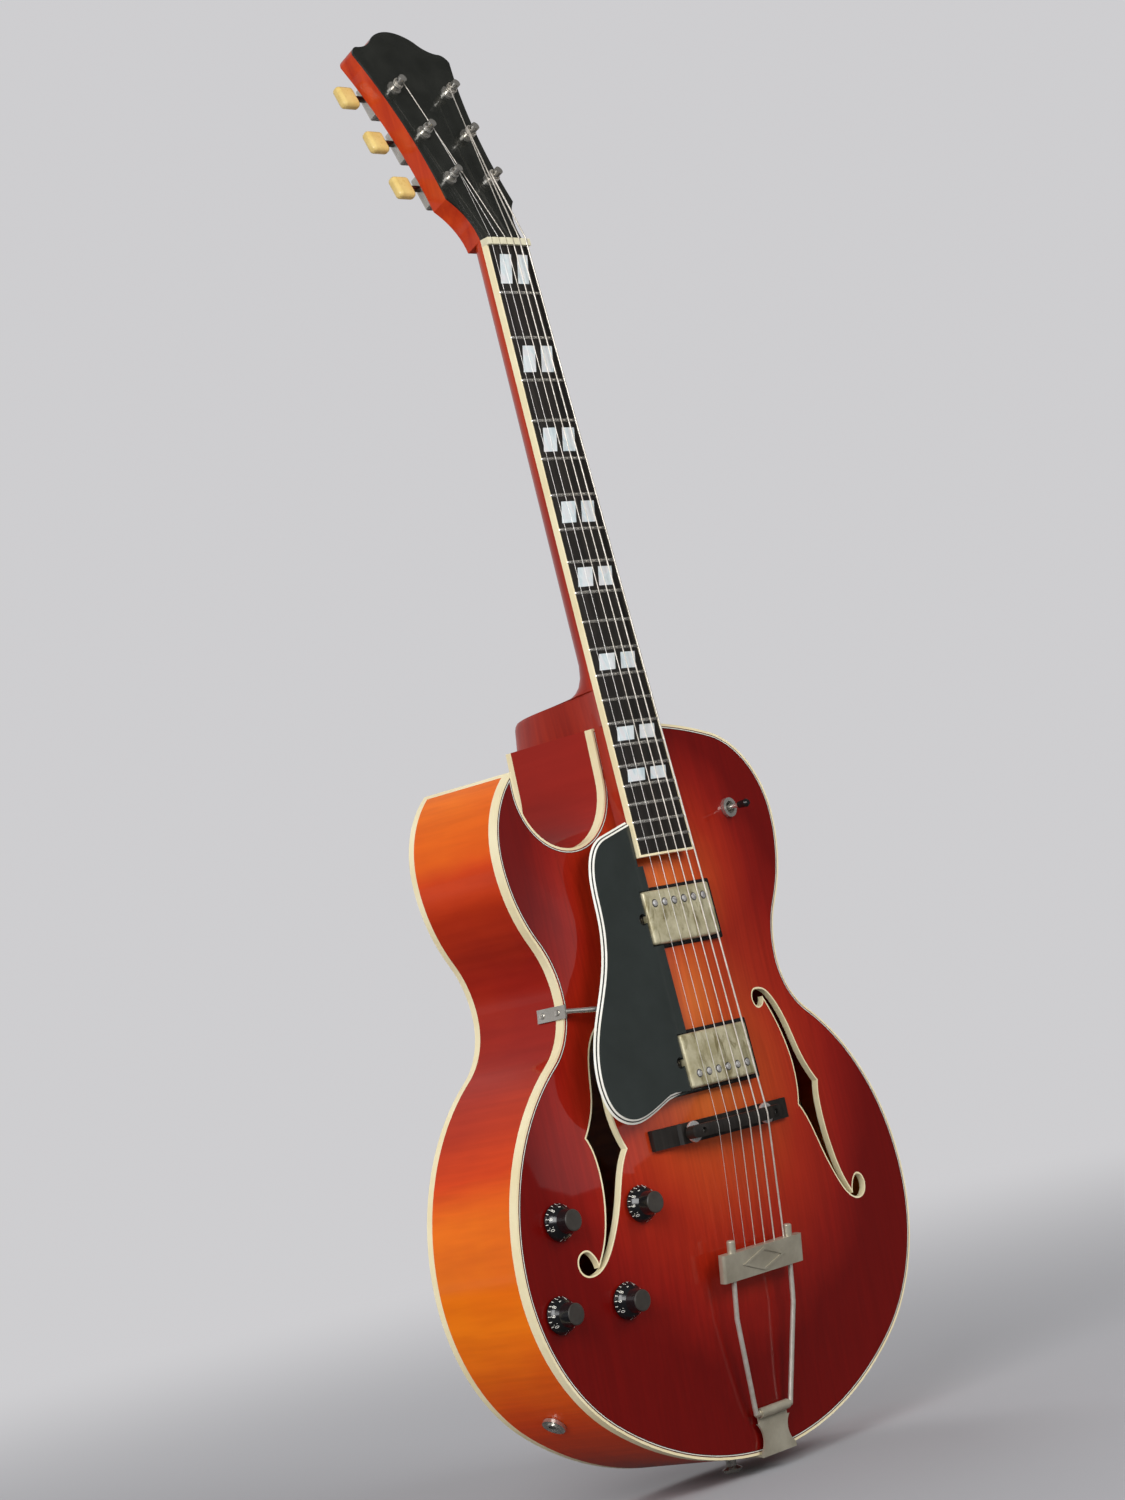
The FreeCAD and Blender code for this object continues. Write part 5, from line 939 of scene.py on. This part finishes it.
def makeFloor():
    # a flat disc that fades into the backdrop's colour with distance from the guitar
    angle = np.linspace(0, 2 * np.pi, stageSettings["floorSides"], endpoint=False)
    radius = np.array(stageSettings["floorRings"])[:, None]
    points = np.stack([radius * np.cos(angle), radius * np.sin(angle),
                       np.full((len(radius), len(angle)), stageSettings["floorHeight"])], -1)
    faces = gridFaces(len(radius), len(angle), wrapColumns=True).tolist() + [list(range(len(angle)))]
    mesh = bpy.data.meshes.new("floor")
    mesh.from_pydata(points.reshape(-1, 3).tolist(), [], faces)
    material = newMaterial("floor_paper", stageSettings["floorColor"], stageSettings["floorRoughness"],
                           specular=stageSettings["floorSpecular"])
    x, y, _ = axesOf(material)
    away = lengthOf(material, x, y)
    tone, seen, dim = backdropSeen(material, between(material, y, *stageSettings["floorDim"]))
    glow = addNode(material, "ShaderNodeEmission")
    join(material, tone, glow.inputs["Color"])
    shown = maths(material, "MULTIPLY", between(material, away, *stageSettings["fade"]), seen)
    mixShaders(material, maths(material, "MAXIMUM", shown, dim), shaderOf(material).outputs["BSDF"],
               glow.outputs["Emission"], "Material Output")
    mesh.materials.append(material)
    floor = bpy.data.objects.new("floor", mesh)
    bpy.context.scene.collection.objects.link(floor)


def makeWorld():
    # an even sky for light, with the backdrop in its place where it is seen
    world = bpy.data.worlds.new("studio")
    bpy.context.scene.world = world
    world.use_nodes = True
    sky = world.node_tree.nodes["Background"]
    setInputs(sky, {"Color": (*stageSettings["skyColor"], 1), "Strength": stageSettings["skyStrength"]})
    _, y, _ = axesOf(world, "Generated")
    unlit = maths(world, "MULTIPLY", between(world, y, *stageSettings["backGlow"]),
                  between(world, y, *stageSettings["frontGlow"]))
    tone, seen, _ = backdropSeen(world, unlit)
    shown = addNode(world, "ShaderNodeBackground")
    join(world, tone, shown.inputs["Color"])
    mixShaders(world, seen, sky.outputs["Background"], shown.outputs["Background"], "World Output")


lampSettings = [
    {"name": "leftBox", "place": (-2.6, -1.1, 1.5), "aim": (0, 0, 0.45), "size": (1.6, 1.6),
     "watts": 66, "mirrored": True},
    {"name": "frontBox", "place": (0.5, -2.8, 1.9), "aim": (0, 0, 0.45), "size": (1.8, 1.4),
     "watts": 50, "mirrored": False},
    {"name": "backBox", "place": (1.6, 2.2, 2.2), "aim": (0, 0, 0.5), "size": (1.6, 1.6),
     "watts": 40, "mirrored": False},
]


def makeLamps():
    for lamp in lampSettings:
        data = bpy.data.lights.new(lamp["name"], "AREA")
        data.shape = "RECTANGLE"
        data.size, data.size_y = lamp["size"]
        data.energy = lamp["watts"]
        thing = bpy.data.objects.new(lamp["name"], data)
        thing.location = lamp["place"]
        thing.visible_glossy = lamp["mirrored"]
        toward = Vector(lamp["aim"]) - Vector(lamp["place"])
        thing.rotation_euler = toward.to_track_quat("-Z", "Y").to_euler()
        bpy.context.scene.collection.objects.link(thing)


cameraSettings = {"place": (-1.73777, -1.56908, 0.30897), "right": (0.67092, -0.71108, -0.21032),
                  "down": (-0.08301, 0.20982, -0.97421), "lens": 80.26, "sensor": 36.0, "farthest": 60}


def makeCamera():
    data = bpy.data.cameras.new("photoCamera")
    data.sensor_fit = "VERTICAL"
    data.sensor_height = cameraSettings["sensor"]
    data.lens = cameraSettings["lens"]
    data.clip_end = cameraSettings["farthest"]
    right, up = Vector(cameraSettings["right"]), -Vector(cameraSettings["down"])
    backward = right.cross(up).normalized()
    turn = Matrix((right, up, backward)).transposed().to_4x4()
    thing = bpy.data.objects.new("photoCamera", data)
    thing.matrix_world = Matrix.Translation(Vector(cameraSettings["place"])) @ turn
    bpy.context.scene.collection.objects.link(thing)
    bpy.context.scene.camera = thing


makeFloor()
makeWorld()
makeLamps()
makeCamera()
bpy.context.scene.view_settings.view_transform = "Standard"
print("stage, lamps and camera set")
